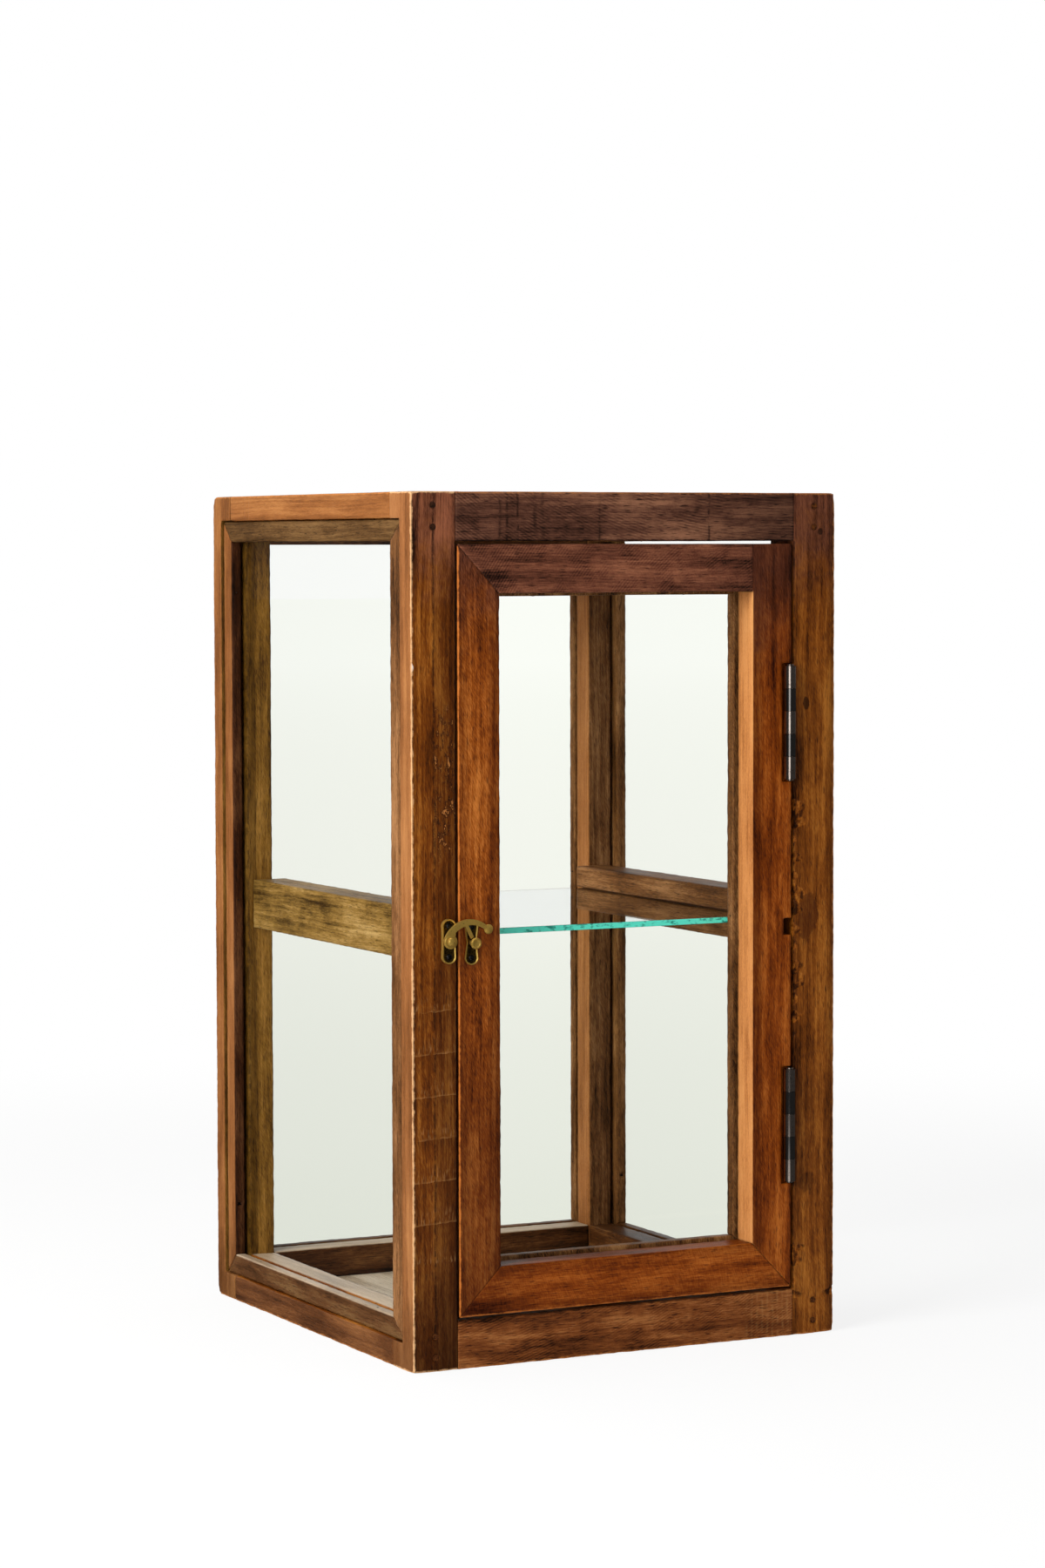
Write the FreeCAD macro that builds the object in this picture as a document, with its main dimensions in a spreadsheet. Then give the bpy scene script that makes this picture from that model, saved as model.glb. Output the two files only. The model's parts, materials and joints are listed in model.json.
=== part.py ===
import FreeCAD
import Part
import os
import re
from FreeCAD import Placement, Rotation, Vector

# Glass display cabinet, in millimetres. +X is to the right of someone facing the door, +Y runs
# from the door to the back and +Z is up. The origin is the middle of the base's underside.

SIZES = {
    # Case frame: posts and rails of one square stock
    "case_width": 316.5,
    "case_depth": 328.0,
    "case_height": 570.0,
    "stock": 32.0,
    "tenon_thickness": 8.0,
    "tenon_shoulder": 4.0,
    "front_tenon_length": 22.0,
    "stub_tenon_length": 8.0,
    "stub_cheek": 2.0,
    "stub_spacing": 2.0,
    "mortise_spare": 1.0,
    "peg_radius": 2.0,
    "peg_bite": 2.0,
    "peg_offset": 7.0,
    "peg_play": 0.05,
    # Fixed panes and the beads that hold them from outside
    "pane_thickness": 3.0,
    "pane_play": 1.0,
    "bead_width": 14.5,
    "bead_thickness": 8.0,
    "bead_recess": 2.0,
    "bead_play": 0.2,
    "side_wide_margin": 17.5,
    "side_narrow_margin": 14.0,
    "wide_bead_width": 19.0,
    "brad_radius": 0.6,
    "brad_length": 24.0,
    "brad_inset": 50.0,
    "brad_stagger": 8.0,
    "brad_play": 0.05,
    # Base and top panels, let in flush
    "panel_thickness": 10.0,
    "panel_lap": 8.0,
    "panel_play": 0.3,
    # Glass shelf and the grooved rails under its ends
    "shelf_thickness": 4.0,
    "shelf_height": 279.5,
    "shelf_end_play": 1.0,
    "shelf_front_gap": 1.5,
    "shelf_rail_width": 26.0,
    "shelf_rail_height": 34.5,
    "shelf_rail_setback": 3.5,
    "groove_depth": 6.0,
    "groove_rise": 14.5,
    "groove_play": 0.4,
    # Door
    "door_side_gap": 1.2,
    "door_top_gap": 2.0,
    "door_bottom_gap": 1.5,
    "stile_width": 30.5,
    "door_rail_width": 32.0,
    "door_rebate": 12.0,
    "door_bead_width": 14.0,
    "door_bead_thickness": 8.5,
    "door_bead_recess": 0.5,
    "closing_bevel": 3.2,
    "dowel_radius": 3.0,
    "dowel_length": 20.0,
    "dowel_play": 0.05,
    "notch_width": 6.0,
    "notch_height": 11.0,
    "notch_depth": 14.0,
    "notch_bottom": 273.0,
    # Butt hinges
    "hinge_length": 76.0,
    "lower_hinge_height": 144.0,
    "upper_hinge_drop": 154.0,
    "knuckle_radius": 4.3,
    "knuckle_gap": 0.3,
    "knuckle_room": 0.4,
    "pin_proud": 1.5,
    "pin_radius": 2.0,
    "pin_play": 0.05,
    "pin_head_radius": 2.8,
    "pin_head_height": 1.2,
    "leaf_thickness": 1.6,
    "leaf_depth": 24.0,
    "leaf_gap": 0.4,
    "leaf_play": 0.2,
    "hinge_screw_radius": 1.4,
    "hinge_screw_head_radius": 3.0,
    "hinge_screw_head_height": 1.4,
    "hinge_screw_length": 11.0,
    "hinge_screw_setback": 14.0,
    "hinge_screw_spacing": 26.0,
    # Swing-hook latch
    "latch_height": 280.0,
    "latch_inset": 6.8,
    "catch_inset": 9.0,
    "catch_drop": 1.5,
    "plate_width": 9.5,
    "plate_length": 29.0,
    "latch_plate_thickness": 3.5,
    "catch_plate_thickness": 1.6,
    "plate_screw_inset": 4.5,
    "plate_screw_radius": 1.0,
    "plate_screw_head_radius": 2.0,
    "plate_screw_head_height": 1.2,
    "plate_screw_length": 10.0,
    "screw_play": 0.05,
    "hook_thickness": 2.4,
    "hook_gap": 0.3,
    "boss_radius": 5.0,
    "arm_inner_radius": 16.0,
    "arm_width": 4.2,
    "arm_centre_reach": 14.1,
    "arm_centre_drop": 5.9,
    "arm_start": 48.0,
    "arm_sweep": 114.0,
    "tail_radius": 3.1,
    "prong_width": 2.4,
    "prong_drop": 3.0,
    "prong_play": 0.5,
    "stud_neck_radius": 1.6,
    "stud_head_radius": 3.7,
    "stud_head_height": 2.5,
    "stud_root": 7.0,
    "rivet_radius": 1.5,
    "rivet_play": 0.05,
    "rivet_head_radius": 2.8,
    "rivet_head_height": 1.4,
    "rivet_root": 7.0,
}

# Places and lengths that follow from the sizes above
DERIVED = {
    "half_width": "case_width / 2",
    "half_depth": "case_depth / 2",
    "mid_height": "case_height / 2",
    "inner_half_width": "half_width - stock",
    "inner_half_depth": "half_depth - stock",
    "front": "0 - half_depth",
    "bead_margin": "stock - bead_width",
    "side_shift": "(side_wide_margin - side_narrow_margin) / 2",
    "rebate_depth": "bead_recess + bead_thickness + pane_thickness",
    "panel_half_width": "inner_half_width + panel_lap",
    "panel_half_depth": "inner_half_depth + panel_lap",
    "front_tenon_start": "bead_margin / 2 - tenon_thickness / 2",
    "peg_length": "front_tenon_start + tenon_thickness + peg_bite",
    "stub_start": "rebate_depth + stub_cheek",
    "stub_end": "stub_start + tenon_thickness",
    "shelf_rail_outer": "half_width - rebate_depth - shelf_rail_setback",
    "shelf_tenon_outer": "shelf_rail_outer - stub_cheek",
    "shelf_rail_inner": "shelf_rail_outer - shelf_rail_width",
    "shelf_rail_bottom": "shelf_height - groove_rise",
    "shelf_rail_top": "shelf_rail_bottom + shelf_rail_height",
    "door_right": "inner_half_width - door_side_gap",
    "door_left": "0 - door_right",
    "door_bottom": "stock + door_bottom_gap",
    "door_top": "case_height - stock - door_top_gap",
    "door_width": "2 * door_right",
    "door_height": "door_top - door_bottom",
    "door_back": "front + stock",
    "door_lip": "stock - pane_thickness - door_bead_thickness - door_bead_recess",
    "door_middle": "(door_top + door_bottom) / 2",
    "rebate_half_width": "door_width / 2 - stile_width + door_rebate",
    "rebate_half_height": "door_height / 2 - door_rail_width + door_rebate",
    "leaf_x": "inner_half_width - door_side_gap / 2",
    "pin_x": "leaf_x + leaf_gap / 2 + leaf_thickness / 2 - knuckle_radius",
    "pin_y": "front - pin_proud",
    "leaf_front": "pin_y + knuckle_radius + knuckle_gap",
    "upper_hinge_height": "case_height - upper_hinge_drop",
    "knuckle_pitch": "(hinge_length + knuckle_gap) / 5",
    "knuckle_length": "knuckle_pitch - knuckle_gap",
    "latch_x": "0 - inner_half_width - latch_inset",
    "catch_x": "door_left + catch_inset",
    "catch_height": "latch_height - catch_drop",
    "plate_screw_shift": "plate_length / 2 - plate_screw_inset",
    "hook_back": "front - latch_plate_thickness - hook_gap",
    "hook_front": "hook_back - hook_thickness",
    "head_back": "hook_front - hook_gap",
    "arm_middle": "arm_inner_radius + arm_width / 2",
    "arm_centre_x": "latch_x + arm_centre_reach",
    "arm_centre_height": "latch_height - arm_centre_drop",
    "prong_right": "catch_x - stud_neck_radius - prong_play",
}

TURNS = {
    "+x": Rotation(Vector(0, 1, 0), 90),
    "-x": Rotation(Vector(0, 1, 0), -90),
    "+y": Rotation(Vector(1, 0, 0), -90),
    "-y": Rotation(Vector(1, 0, 0), 90),
    "+z": Rotation(),
    "-z": Rotation(Vector(1, 0, 0), 180),
}

doc = FreeCAD.newDocument("glass_cabinet")
sheet = doc.addObject("Spreadsheet::Sheet", "Sizes")
for row, (alias, value) in enumerate(SIZES.items(), 1):
    sheet.set("A%d" % row, alias)
    sheet.set("B%d" % row, str(value))
    sheet.setAlias("B%d" % row, alias)
doc.recompute()

parts = {}


# Formulas and simple solids

def formula(text):
    """Turn a formula in named sizes into an expression on the sheet."""
    def swap(match):
        word = match.group(0)
        if word in DERIVED:
            return "(" + formula(DERIVED[word]) + ")"
        return "Sizes." + word if word in SIZES else word
    return re.sub(r"[a-z][a-z_]*", swap, text)


def bind(solid, **formulas):
    for size, text in formulas.items():
        solid.setExpression(size, formula(text))


def place(solid, point, turn=Rotation()):
    solid.Placement = Placement(Vector(), turn)
    for axis, text in zip("xyz", point):
        solid.setExpression("Placement.Base." + axis, formula(text))


def box(label, x_span, y_span, z_span):
    """A block between two places on each axis."""
    block = doc.addObject("Part::Box", label)
    spans = (x_span, y_span, z_span)
    for side, (low, high) in zip(("Length", "Width", "Height"), spans):
        block.setExpression(side, formula("(%s) - (%s)" % (high, low)))
    place(block, [low for low, high in spans])
    return block


def rod(label, start, direction, length, radius):
    """A round bar from a starting point."""
    bar = doc.addObject("Part::Cylinder", label)
    bind(bar, Radius=radius, Height=length)
    place(bar, start, TURNS[direction])
    return bar


def trapezoid(label, corner, turn, low, high, low_inner, high_inner, across, thickness):
    """A flat bar with slanted ends: low to high on its first edge, the inner pair on the other."""
    bar = doc.addObject("Part::Wedge", label)
    bind(bar, Xmin=low, Xmax=high, X2min=low_inner, X2max=high_inner)
    bind(bar, Ymin=across[0], Ymax=across[1], Zmin="0", Zmax=thickness, Z2min="0", Z2max=thickness)
    place(bar, corner, turn)
    return bar


def cut(label, base, *tools):
    for number, tool in enumerate(tools, 1):
        name = label if number == len(tools) else "%s_step_%d" % (label, number)
        piece = doc.addObject("Part::Cut", name)
        piece.Base = base
        piece.Tool = tool
        base = piece
    return base


def fuse(label, *solids):
    piece = doc.addObject("Part::MultiFuse", label)
    piece.Shapes = list(solids)
    return piece


def group(label, solids):
    pieces = doc.addObject("Part::Compound", label)
    pieces.Links = list(solids)
    return pieces


def keep(label, solid):
    solid.Label = label
    parts[label] = solid


def rod_and_hole(label, start, direction, length, radius, play):
    """A pin and the hole it sits in, which is wider and longer by the play."""
    pin = rod(label, start, direction, length, radius)
    hole = rod(label + "_hole", start, direction, length + " + " + play, radius + " + " + play)
    return pin, hole


def screw_and_hole(label, start, direction, kind):
    """A countersunk wood screw from the face it is driven into, and its hole."""
    pair = []
    for suffix, play in (("", "0"), ("_hole", "screw_play")):
        head = doc.addObject("Part::Cone", label + "_head" + suffix)
        bind(head, Radius1="%s_head_radius + %s" % (kind, play), Radius2="%s_radius + %s" % (kind, play))
        bind(head, Height=kind + "_head_height")
        place(head, start, TURNS[direction])
        shank = rod(label + "_shank" + suffix, start, direction,
                    "%s_length + %s" % (kind, play), "%s_radius + %s" % (kind, play))
        pair.append(fuse(label + suffix, head, shank))
    return pair


# Rebates shared by the members of each frame. The two sides are one design turned round: the wider margin
# and the wider bead are at the front on the left and at the back on the right.
side_glazing = "case_depth - side_wide_margin - side_narrow_margin"
pane_width = {"left": side_glazing, "right": side_glazing, "back": "case_width - 2 * bead_margin"}
pane_height = "case_height - 2 * bead_margin"
rebate_z = ("bead_margin", "case_height - bead_margin")
rebate_y = {"left": ("side_wide_margin - half_depth", "half_depth - side_narrow_margin"),
            "right": ("side_narrow_margin - half_depth", "half_depth - side_wide_margin")}
rebates = {
    "left": box("rebate_left", ("0 - half_width", "rebate_depth - half_width"), rebate_y["left"], rebate_z),
    "right": box("rebate_right", ("half_width - rebate_depth", "half_width"), rebate_y["right"], rebate_z),
    "back": box("rebate_back", ("bead_margin - half_width", "half_width - bead_margin"),
                ("half_depth - rebate_depth", "half_depth"), rebate_z),
}
panel_x = ("0 - panel_half_width", "panel_half_width")
panel_y = ("0 - panel_half_depth", "panel_half_depth")
panel_z = {"base": ("0", "panel_thickness"), "top": ("case_height - panel_thickness", "case_height")}
panel_rebates = [box("panel_rebate_" + level, panel_x, panel_y, z_span) for level, z_span in panel_z.items()]


# Panes, mitred beads and brads of one glazed frame

# Each frame has an upright plane. A place in it is given across, up and in depth from its outer face.
def in_plane(plane, across, up, depth):
    if plane == "left":
        return ("%s - half_width" % depth, "side_shift + %s" % across, "mid_height + %s" % up)
    if plane == "right":
        return ("half_width - (%s)" % depth, across + " - side_shift", "mid_height + %s" % up)
    if plane == "back":
        return (across, "half_depth - (%s)" % depth, "mid_height + %s" % up)
    return (across, "door_back - (%s)" % depth, "door_middle + %s" % up)


def beads(plane, width, height, bead_width, thickness, recess):
    """Four mitred beads round a pane, with the brads that hold them and the brads' holes."""
    sideways = plane in ("left", "right")
    upright = Rotation(Vector(1, 1, 1), 120) if sideways else Rotation(Vector(1, 0, 0), 90)
    edges = ("bottom", "rear", "top", "front") if sideways else ("bottom", "right", "top", "left")
    ways = ("-z", "+y", "+z", "-y") if sideways else ("-z", "+x", "+z", "-x")
    near_side = "%s + %s" % (recess, thickness) if plane == "right" else recess
    corner = in_plane(plane, "0", "0", near_side)
    stagger = "brad_stagger" if plane == "back" else "0"
    widths = [bead_width] * 4
    if sideways:
        widths[3 if plane == "left" else 1] = "wide_bead_width"
    strips, nails, holes = {}, [], []
    for quarter, (edge, way) in enumerate(zip(edges, ways)):
        label = "%s_bead_%s" % (plane, edge)
        upright_edge = quarter % 2 == 1
        along, across = (height, width) if upright_edge else (width, height)
        half = "((%s) / 2 - bead_play)" % along
        outer = "((%s) / 2 - bead_play)" % across
        inner = "(%s - %s)" % (outer, widths[quarter])
        strips[label] = trapezoid(label + "_blank", corner, upright * Rotation(Vector(0, 0, 1), 90 * quarter),
                                  "0 - " + half, half,
                                  widths[quarter - 1] + " - " + half, half + " - " + widths[(quarter + 1) % 4],
                                  ("0 - " + outer, "0 - " + inner), thickness)
        for number in ((-1, 0, 1) if upright_edge else (-1, 1)):
            slide = "(%d * (%s - brad_inset) + %s)" % (number, half, stagger)
            spots = ((slide, "0 - " + inner), (inner, slide), (slide, inner), ("0 - " + inner, slide))
            start = in_plane(plane, *spots[quarter], "%s + %s / 2" % (recess, thickness))
            nail, hole = rod_and_hole("%s_brad_%d" % (label, number + 2), start, way,
                                      "brad_length", "brad_radius", "brad_play")
            nails.append(nail)
            holes.append(hole)
    return strips, nails, holes


case_nails, case_nail_holes, case_strips = [], [], {}
for plane in ("left", "right", "back"):
    strips, nails, holes = beads(plane, pane_width[plane], pane_height,
                                 "bead_width", "bead_thickness", "bead_recess")
    case_strips.update(strips)
    case_nails += nails
    case_nail_holes += holes

pane_z = ("bead_margin + pane_play", "case_height - bead_margin - pane_play")
side_pane_y = {side: (low + " + pane_play", high + " - pane_play") for side, (low, high) in rebate_y.items()}
back_pane_x = ("bead_margin + pane_play - half_width", "half_width - bead_margin - pane_play")
left_x = ("rebate_depth - pane_thickness - half_width", "rebate_depth - half_width")
right_x = ("half_width - rebate_depth", "half_width - rebate_depth + pane_thickness")
back_y = ("half_depth - rebate_depth", "half_depth - rebate_depth + pane_thickness")
keep("pane_left", box("pane_left", left_x, side_pane_y["left"], pane_z))
keep("pane_right", box("pane_right", right_x, side_pane_y["right"], pane_z))
keep("pane_back", box("pane_back", back_pane_x, back_y, pane_z))

# Brads through the base and top panels into the rails
for level, z_start, direction in (("base", "0", "+z"), ("top", "case_height", "-z")):
    for side in (-1, 1):
        for shift in (-1, 1):
            spots = {"x": ("%d * (inner_half_width + panel_lap / 2)" % side,
                           "%d * (inner_half_depth - brad_inset)" % shift),
                     "y": ("%d * (inner_half_width - brad_inset)" % shift,
                           "%d * (inner_half_depth + panel_lap / 2)" % side)}
            for axis, spot in spots.items():
                name = "panel_brad_%s_%s%d%d" % (level, axis, side + 1, shift + 1)
                nail, hole = rod_and_hole(name, spot + (z_start,), direction,
                                          "brad_length", "brad_radius", "brad_play")
                case_nails.append(nail)
                case_nail_holes.append(hole)

keep("case_brads", group("case_brads", case_nails))
brad_holes = group("case_brad_holes", case_nail_holes)
for label, strip in case_strips.items():
    keep(label, cut(label, strip, brad_holes))

panel_spans = (("panel_play - panel_half_width", "panel_half_width - panel_play"),
               ("panel_play - panel_half_depth", "panel_half_depth - panel_play"))
for level, z_span in panel_z.items():
    panel = box(level + "_panel_blank", *panel_spans, z_span)
    keep(level + "_panel", cut(level + "_panel", panel, brad_holes))

# Rails of the case, with a tenon at each end. Side and back tenons share the post's height.
half_rail = "stock / 2 - stub_spacing / 2 - tenon_shoulder"
rail_floor = {"bottom": "0", "top": "case_height - stock"}
post_side = {"left": ("0 - half_width", "0 - inner_half_width"), "right": ("inner_half_width", "half_width")}
post_end = {"front": ("0 - half_depth", "0 - inner_half_depth"), "rear": ("inner_half_depth", "half_depth")}
tenon_place = {
    "front": ("front + front_tenon_start", "front + front_tenon_start + tenon_thickness"),
    "back": ("half_depth - stub_end", "half_depth - stub_start"),
    "left": ("stub_start - half_width", "stub_end - half_width"),
    "right": ("half_width - stub_end", "half_width - stub_start"),
}
mortises = {"front": [], "back": [], "left": [], "right": []}
rail_blanks = {}
for level, floor in rail_floor.items():
    for side in ("front", "back", "left", "right"):
        label = "rail_%s_%s" % (level, side)
        crosswise = side in ("front", "back")
        clear = "inner_half_width" if crosswise else "inner_half_depth"
        length = "front_tenon_length" if side == "front" else "stub_tenon_length"
        low = "%s + tenon_shoulder" % floor
        if side == "front":
            tenon_z = (low, "%s + stock - tenon_shoulder" % floor)
        elif side == "back":
            tenon_z = ("%s + stock / 2 + stub_spacing / 2" % floor, "%s + stock - tenon_shoulder" % floor)
        else:
            tenon_z = (low, "%s + %s" % (low, half_rail))
        section = {"front": post_end["front"], "back": post_end["rear"],
                   "left": post_side["left"], "right": post_side["right"]}[side]
        bars = []
        for name, reach in (("tenons", clear + " + " + length),
                            ("mortises", clear + " + " + length + " + mortise_spare")):
            run = ("0 - (%s)" % reach, reach)
            spans = (run, tenon_place[side]) if crosswise else (tenon_place[side], run)
            bars.append(box("%s_%s" % (label, name), *spans, tenon_z))
        run = ("0 - " + clear, clear)
        spans = (run, section) if crosswise else (section, run)
        blank = box(label + "_blank", *spans, (floor, floor + " + stock"))
        rail_blanks[label] = fuse(label + "_tenoned", blank, bars[0])
        mortises[side].append(bars[1])

# Shelf rails and the glass shelf
groove_z = ("shelf_height", "shelf_height + shelf_thickness + groove_play")
rail_run = ("0 - inner_half_depth", "inner_half_depth")
for side, sign in (("left", -1), ("right", 1)):
    def side_span(one, two):
        ends = ["%d * (%s)" % (sign, one), "%d * (%s)" % (sign, two)]
        return ends if sign > 0 else ends[::-1]
    label = "shelf_rail_" + side
    blank = box(label + "_blank", side_span("shelf_rail_inner", "shelf_rail_outer"), rail_run,
                ("shelf_rail_bottom", "shelf_rail_top"))
    bars = []
    for name, length in (("tenons", "stub_tenon_length"), ("mortises", "stub_tenon_length + mortise_spare")):
        reach = "inner_half_depth + " + length
        bars.append(box("%s_%s" % (label, name),
                        side_span("shelf_tenon_outer - tenon_thickness", "shelf_tenon_outer"),
                        ("0 - (%s)" % reach, reach),
                        ("shelf_rail_bottom + tenon_shoulder", "shelf_rail_top - tenon_shoulder")))
    groove = box(label + "_groove", side_span("shelf_rail_inner", "shelf_rail_inner + groove_depth"),
                 rail_run, groove_z)
    keep(label, cut(label, fuse(label + "_tenoned", blank, bars[0]), groove))
    mortises[side].append(bars[1])

shelf_half = "shelf_rail_inner + groove_depth - shelf_end_play"
keep("shelf", box("shelf", ("0 - (%s)" % shelf_half, shelf_half),
                  ("door_back + shelf_front_gap", "inner_half_depth - shelf_end_play"),
                  ("shelf_height", "shelf_height + shelf_thickness")))

# Pegs through the front posts and the front rails' tenons
pegs, peg_holes = [], []
for side, x in (("left", "stock / 2 - half_width"), ("right", "half_width - stock / 2")):
    for level, floor in rail_floor.items():
        for sign in (-1, 1):
            start = (x, "front", "%s + stock / 2 + %d * peg_offset" % (floor, sign))
            name = "frame_peg_%s_%s_%d" % (side, level, sign + 1)
            peg, hole = rod_and_hole(name, start, "+y", "peg_length", "peg_radius", "peg_play")
            pegs.append(peg)
            peg_holes.append(hole)
keep("frame_pegs", group("frame_pegs", pegs))
peg_holes = group("frame_peg_holes", peg_holes)

for label, blank in rail_blanks.items():
    side = label.split("_")[2]
    tools = panel_rebates + [brad_holes]
    tools += [peg_holes] if side == "front" else [rebates[side]]
    keep(label, cut(label, blank, *tools))


# Hinges: a case leaf with three knuckles and a door leaf with two, on one pin.
# The leaves lie in the gap and roll to the left, so the barrel is let into the corner of the stile.

def leaf(label, sign, height, knuckles, screw_holes):
    plate_x = ["leaf_x + %d * leaf_gap / 2" % sign, "leaf_x + %d * (leaf_gap / 2 + leaf_thickness)" % sign]
    plate_x = plate_x if sign > 0 else plate_x[::-1]
    end = "%s + hinge_length / 2" % height
    foot = "%s - hinge_length / 2" % height
    solids = [box(label + "_plate", plate_x, ("leaf_front", "front + leaf_depth"), (foot, end))]
    for number in knuckles:
        low = "%s + %d * knuckle_pitch" % (foot, number)
        name = "%s_knuckle_%d" % (label, number)
        solids.append(rod(name, ("pin_x", "pin_y", low), "+z", "knuckle_length", "knuckle_radius"))
        solids.append(box(name + "_web", plate_x, ("pin_y", "leaf_front"), (low, low + " + knuckle_length")))
    bore = rod(label + "_bore", ("pin_x", "pin_y", foot), "+z", "hinge_length", "pin_radius + pin_play")
    keep(label, cut(label, fuse(label + "_blank", *solids), bore, screw_holes))
    return box(label + "_mortise", plate_x, ("front", "front + leaf_depth + leaf_play"),
               (foot + " - leaf_play", end + " + leaf_play"))


pins = []
hinge_cuts = {1: [], -1: []}
hinge_screws = {1: [], -1: []}
hinge_heights = {"upper": "upper_hinge_height", "lower": "lower_hinge_height"}
for which, height in hinge_heights.items():
    for sign, owner, knuckles in ((1, "case", (0, 2, 4)), (-1, "door", (1, 3))):
        holes = []
        for number in (-1, 0, 1):
            start = ("leaf_x + %d * leaf_gap / 2" % sign, "front + hinge_screw_setback",
                     "%s + %d * hinge_screw_spacing" % (height, number))
            name = "hinge_%s_%s_screw_%d" % (which, owner, number + 2)
            screw, hole = screw_and_hole(name, start, "+x" if sign > 0 else "-x", "hinge_screw")
            hinge_screws[sign].append(screw)
            holes.append(hole)
        holes = group("hinge_%s_%s_screw_holes" % (which, owner), holes)
        recess = leaf("hinge_%s_%s_leaf" % (which, owner), sign, height, knuckles, holes)
        hinge_cuts[sign] += [recess, holes]
    foot = "%s - hinge_length / 2" % height
    hinge_cuts[-1].append(
        box("hinge_%s_barrel_notch" % which, ("pin_x - knuckle_radius - knuckle_room", "leaf_x"),
            ("front", "pin_y + knuckle_radius + knuckle_room"),
            (foot + " - pin_head_height - knuckle_room",
             foot + " + hinge_length + pin_head_height + knuckle_room")))
    pin = rod("hinge_%s_pin_shaft" % which, ("pin_x", "pin_y", foot), "+z", "hinge_length", "pin_radius")
    heads = [rod("hinge_%s_pin_head_%d" % (which, number), ("pin_x", "pin_y", start), "+z",
                 "pin_head_height", "pin_head_radius")
             for number, start in enumerate((foot + " - pin_head_height", foot + " + hinge_length"))]
    pins.append(fuse("hinge_%s_pin" % which, pin, *heads))
keep("hinge_pins", group("hinge_pins", pins))
keep("hinge_case_screws", group("hinge_case_screws", hinge_screws[1]))
keep("hinge_door_screws", group("hinge_door_screws", hinge_screws[-1]))


# Latch: a plate with a swinging hook on the left post, and a knobbed stud on the door

def face_plate(label, x, height, thickness, holes):
    """A plate with round ends on the front face."""
    straight = "(plate_length / 2 - plate_width / 2)"
    top = "%s + %s" % (height, straight)
    foot = "%s - %s" % (height, straight)
    middle = box(label + "_middle", ("%s - plate_width / 2" % x, "%s + plate_width / 2" % x),
                 ("front - " + thickness, "front"), (foot, top))
    ends = [rod("%s_end_%d" % (label, number), (x, "front", z), "-y", thickness, "plate_width / 2")
            for number, z in enumerate((foot, top))]
    keep(label, cut(label, fuse(label + "_blank", middle, *ends), *holes))


def plate_screws(label, x, height, thickness):
    screws, holes = [], []
    for number in (-1, 1):
        start = (x, "front - " + thickness, "%s + %d * plate_screw_shift" % (height, number))
        screw, hole = screw_and_hole("%s_%d" % (label, number + 2), start, "+y", "plate_screw")
        screws.append(screw)
        holes.append(hole)
    keep(label, group(label, screws))
    return group(label + "_holes", holes)


latch_holes = plate_screws("latch_screws", "latch_x", "latch_height", "latch_plate_thickness")
rivet_start = ("latch_x", "front + rivet_root", "latch_height")
rivet_length = "front + rivet_root - head_back"
rivet_shaft, rivet_hole = rod_and_hole("latch_rivet_shaft", rivet_start, "-y", rivet_length,
                                       "rivet_radius", "rivet_play")
rivet_head = rod("latch_rivet_head", ("latch_x", "head_back", "latch_height"), "-y",
                 "rivet_head_height", "rivet_head_radius")
keep("latch_rivet", fuse("latch_rivet", rivet_shaft, rivet_head))
face_plate("latch_plate", "latch_x", "latch_height", "latch_plate_thickness", [latch_holes, rivet_hole])

arm_centre = ("arm_centre_x", "hook_back", "arm_centre_height")
arm_sector = rod("hook_arm_sector", arm_centre, "-y", "hook_thickness", "arm_inner_radius + arm_width")
bind(arm_sector, Angle="arm_sweep")
place(arm_sector, arm_centre, TURNS["-y"] * Rotation(Vector(0, 0, 1), float(sheet.get("arm_start"))))
arm_inside = rod("hook_arm_inside", arm_centre, "-y", "hook_thickness", "arm_inner_radius")
arm = cut("hook_arm", arm_sector, arm_inside)
boss = rod("hook_boss", ("latch_x", "hook_back", "latch_height"), "-y", "hook_thickness", "boss_radius")
tail_centre = ("arm_centre_x + arm_middle * cos(arm_start * 1 deg)", "hook_back",
               "arm_centre_height + arm_middle * sin(arm_start * 1 deg)")
tail = rod("hook_tail", tail_centre, "-y", "hook_thickness", "tail_radius")
prong = box("hook_prong", ("prong_right - prong_width", "prong_right"), ("hook_front", "hook_back"),
            ("latch_height - prong_drop", "arm_centre_height + arm_middle"))
keep("latch_hook", cut("latch_hook", fuse("hook_blank", arm, boss, tail, prong), rivet_hole))

catch_holes = plate_screws("catch_screws", "catch_x", "catch_height", "catch_plate_thickness")
stud_neck, stud_hole = rod_and_hole("catch_stud_neck", ("catch_x", "front + stud_root", "catch_height"), "-y",
                                    "front + stud_root - head_back", "stud_neck_radius", "screw_play")
stud_head = rod("catch_stud_head", ("catch_x", "head_back", "catch_height"), "-y",
                "stud_head_height", "stud_head_radius")
keep("catch_stud", fuse("catch_stud", stud_neck, stud_head))
face_plate("catch_plate", "catch_x", "catch_height", "catch_plate_thickness", [catch_holes, stud_hole])

# Corner posts
for end, face in (("front", "front"), ("rear", "back")):
    for side in ("left", "right"):
        label = "post_%s_%s" % (end, side)
        blank = box(label + "_blank", post_side[side], post_end[end], ("0", "case_height"))
        tools = [rebates[side]] + panel_rebates + mortises[face] + mortises[side] + [brad_holes]
        if end == "rear":
            tools.append(rebates["back"])
        else:
            tools.append(peg_holes)
        if label == "post_front_right":
            tools += hinge_cuts[1]
        if label == "post_front_left":
            tools += [latch_holes, rivet_hole]
        keep(label, cut(label, blank, *tools))

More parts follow.
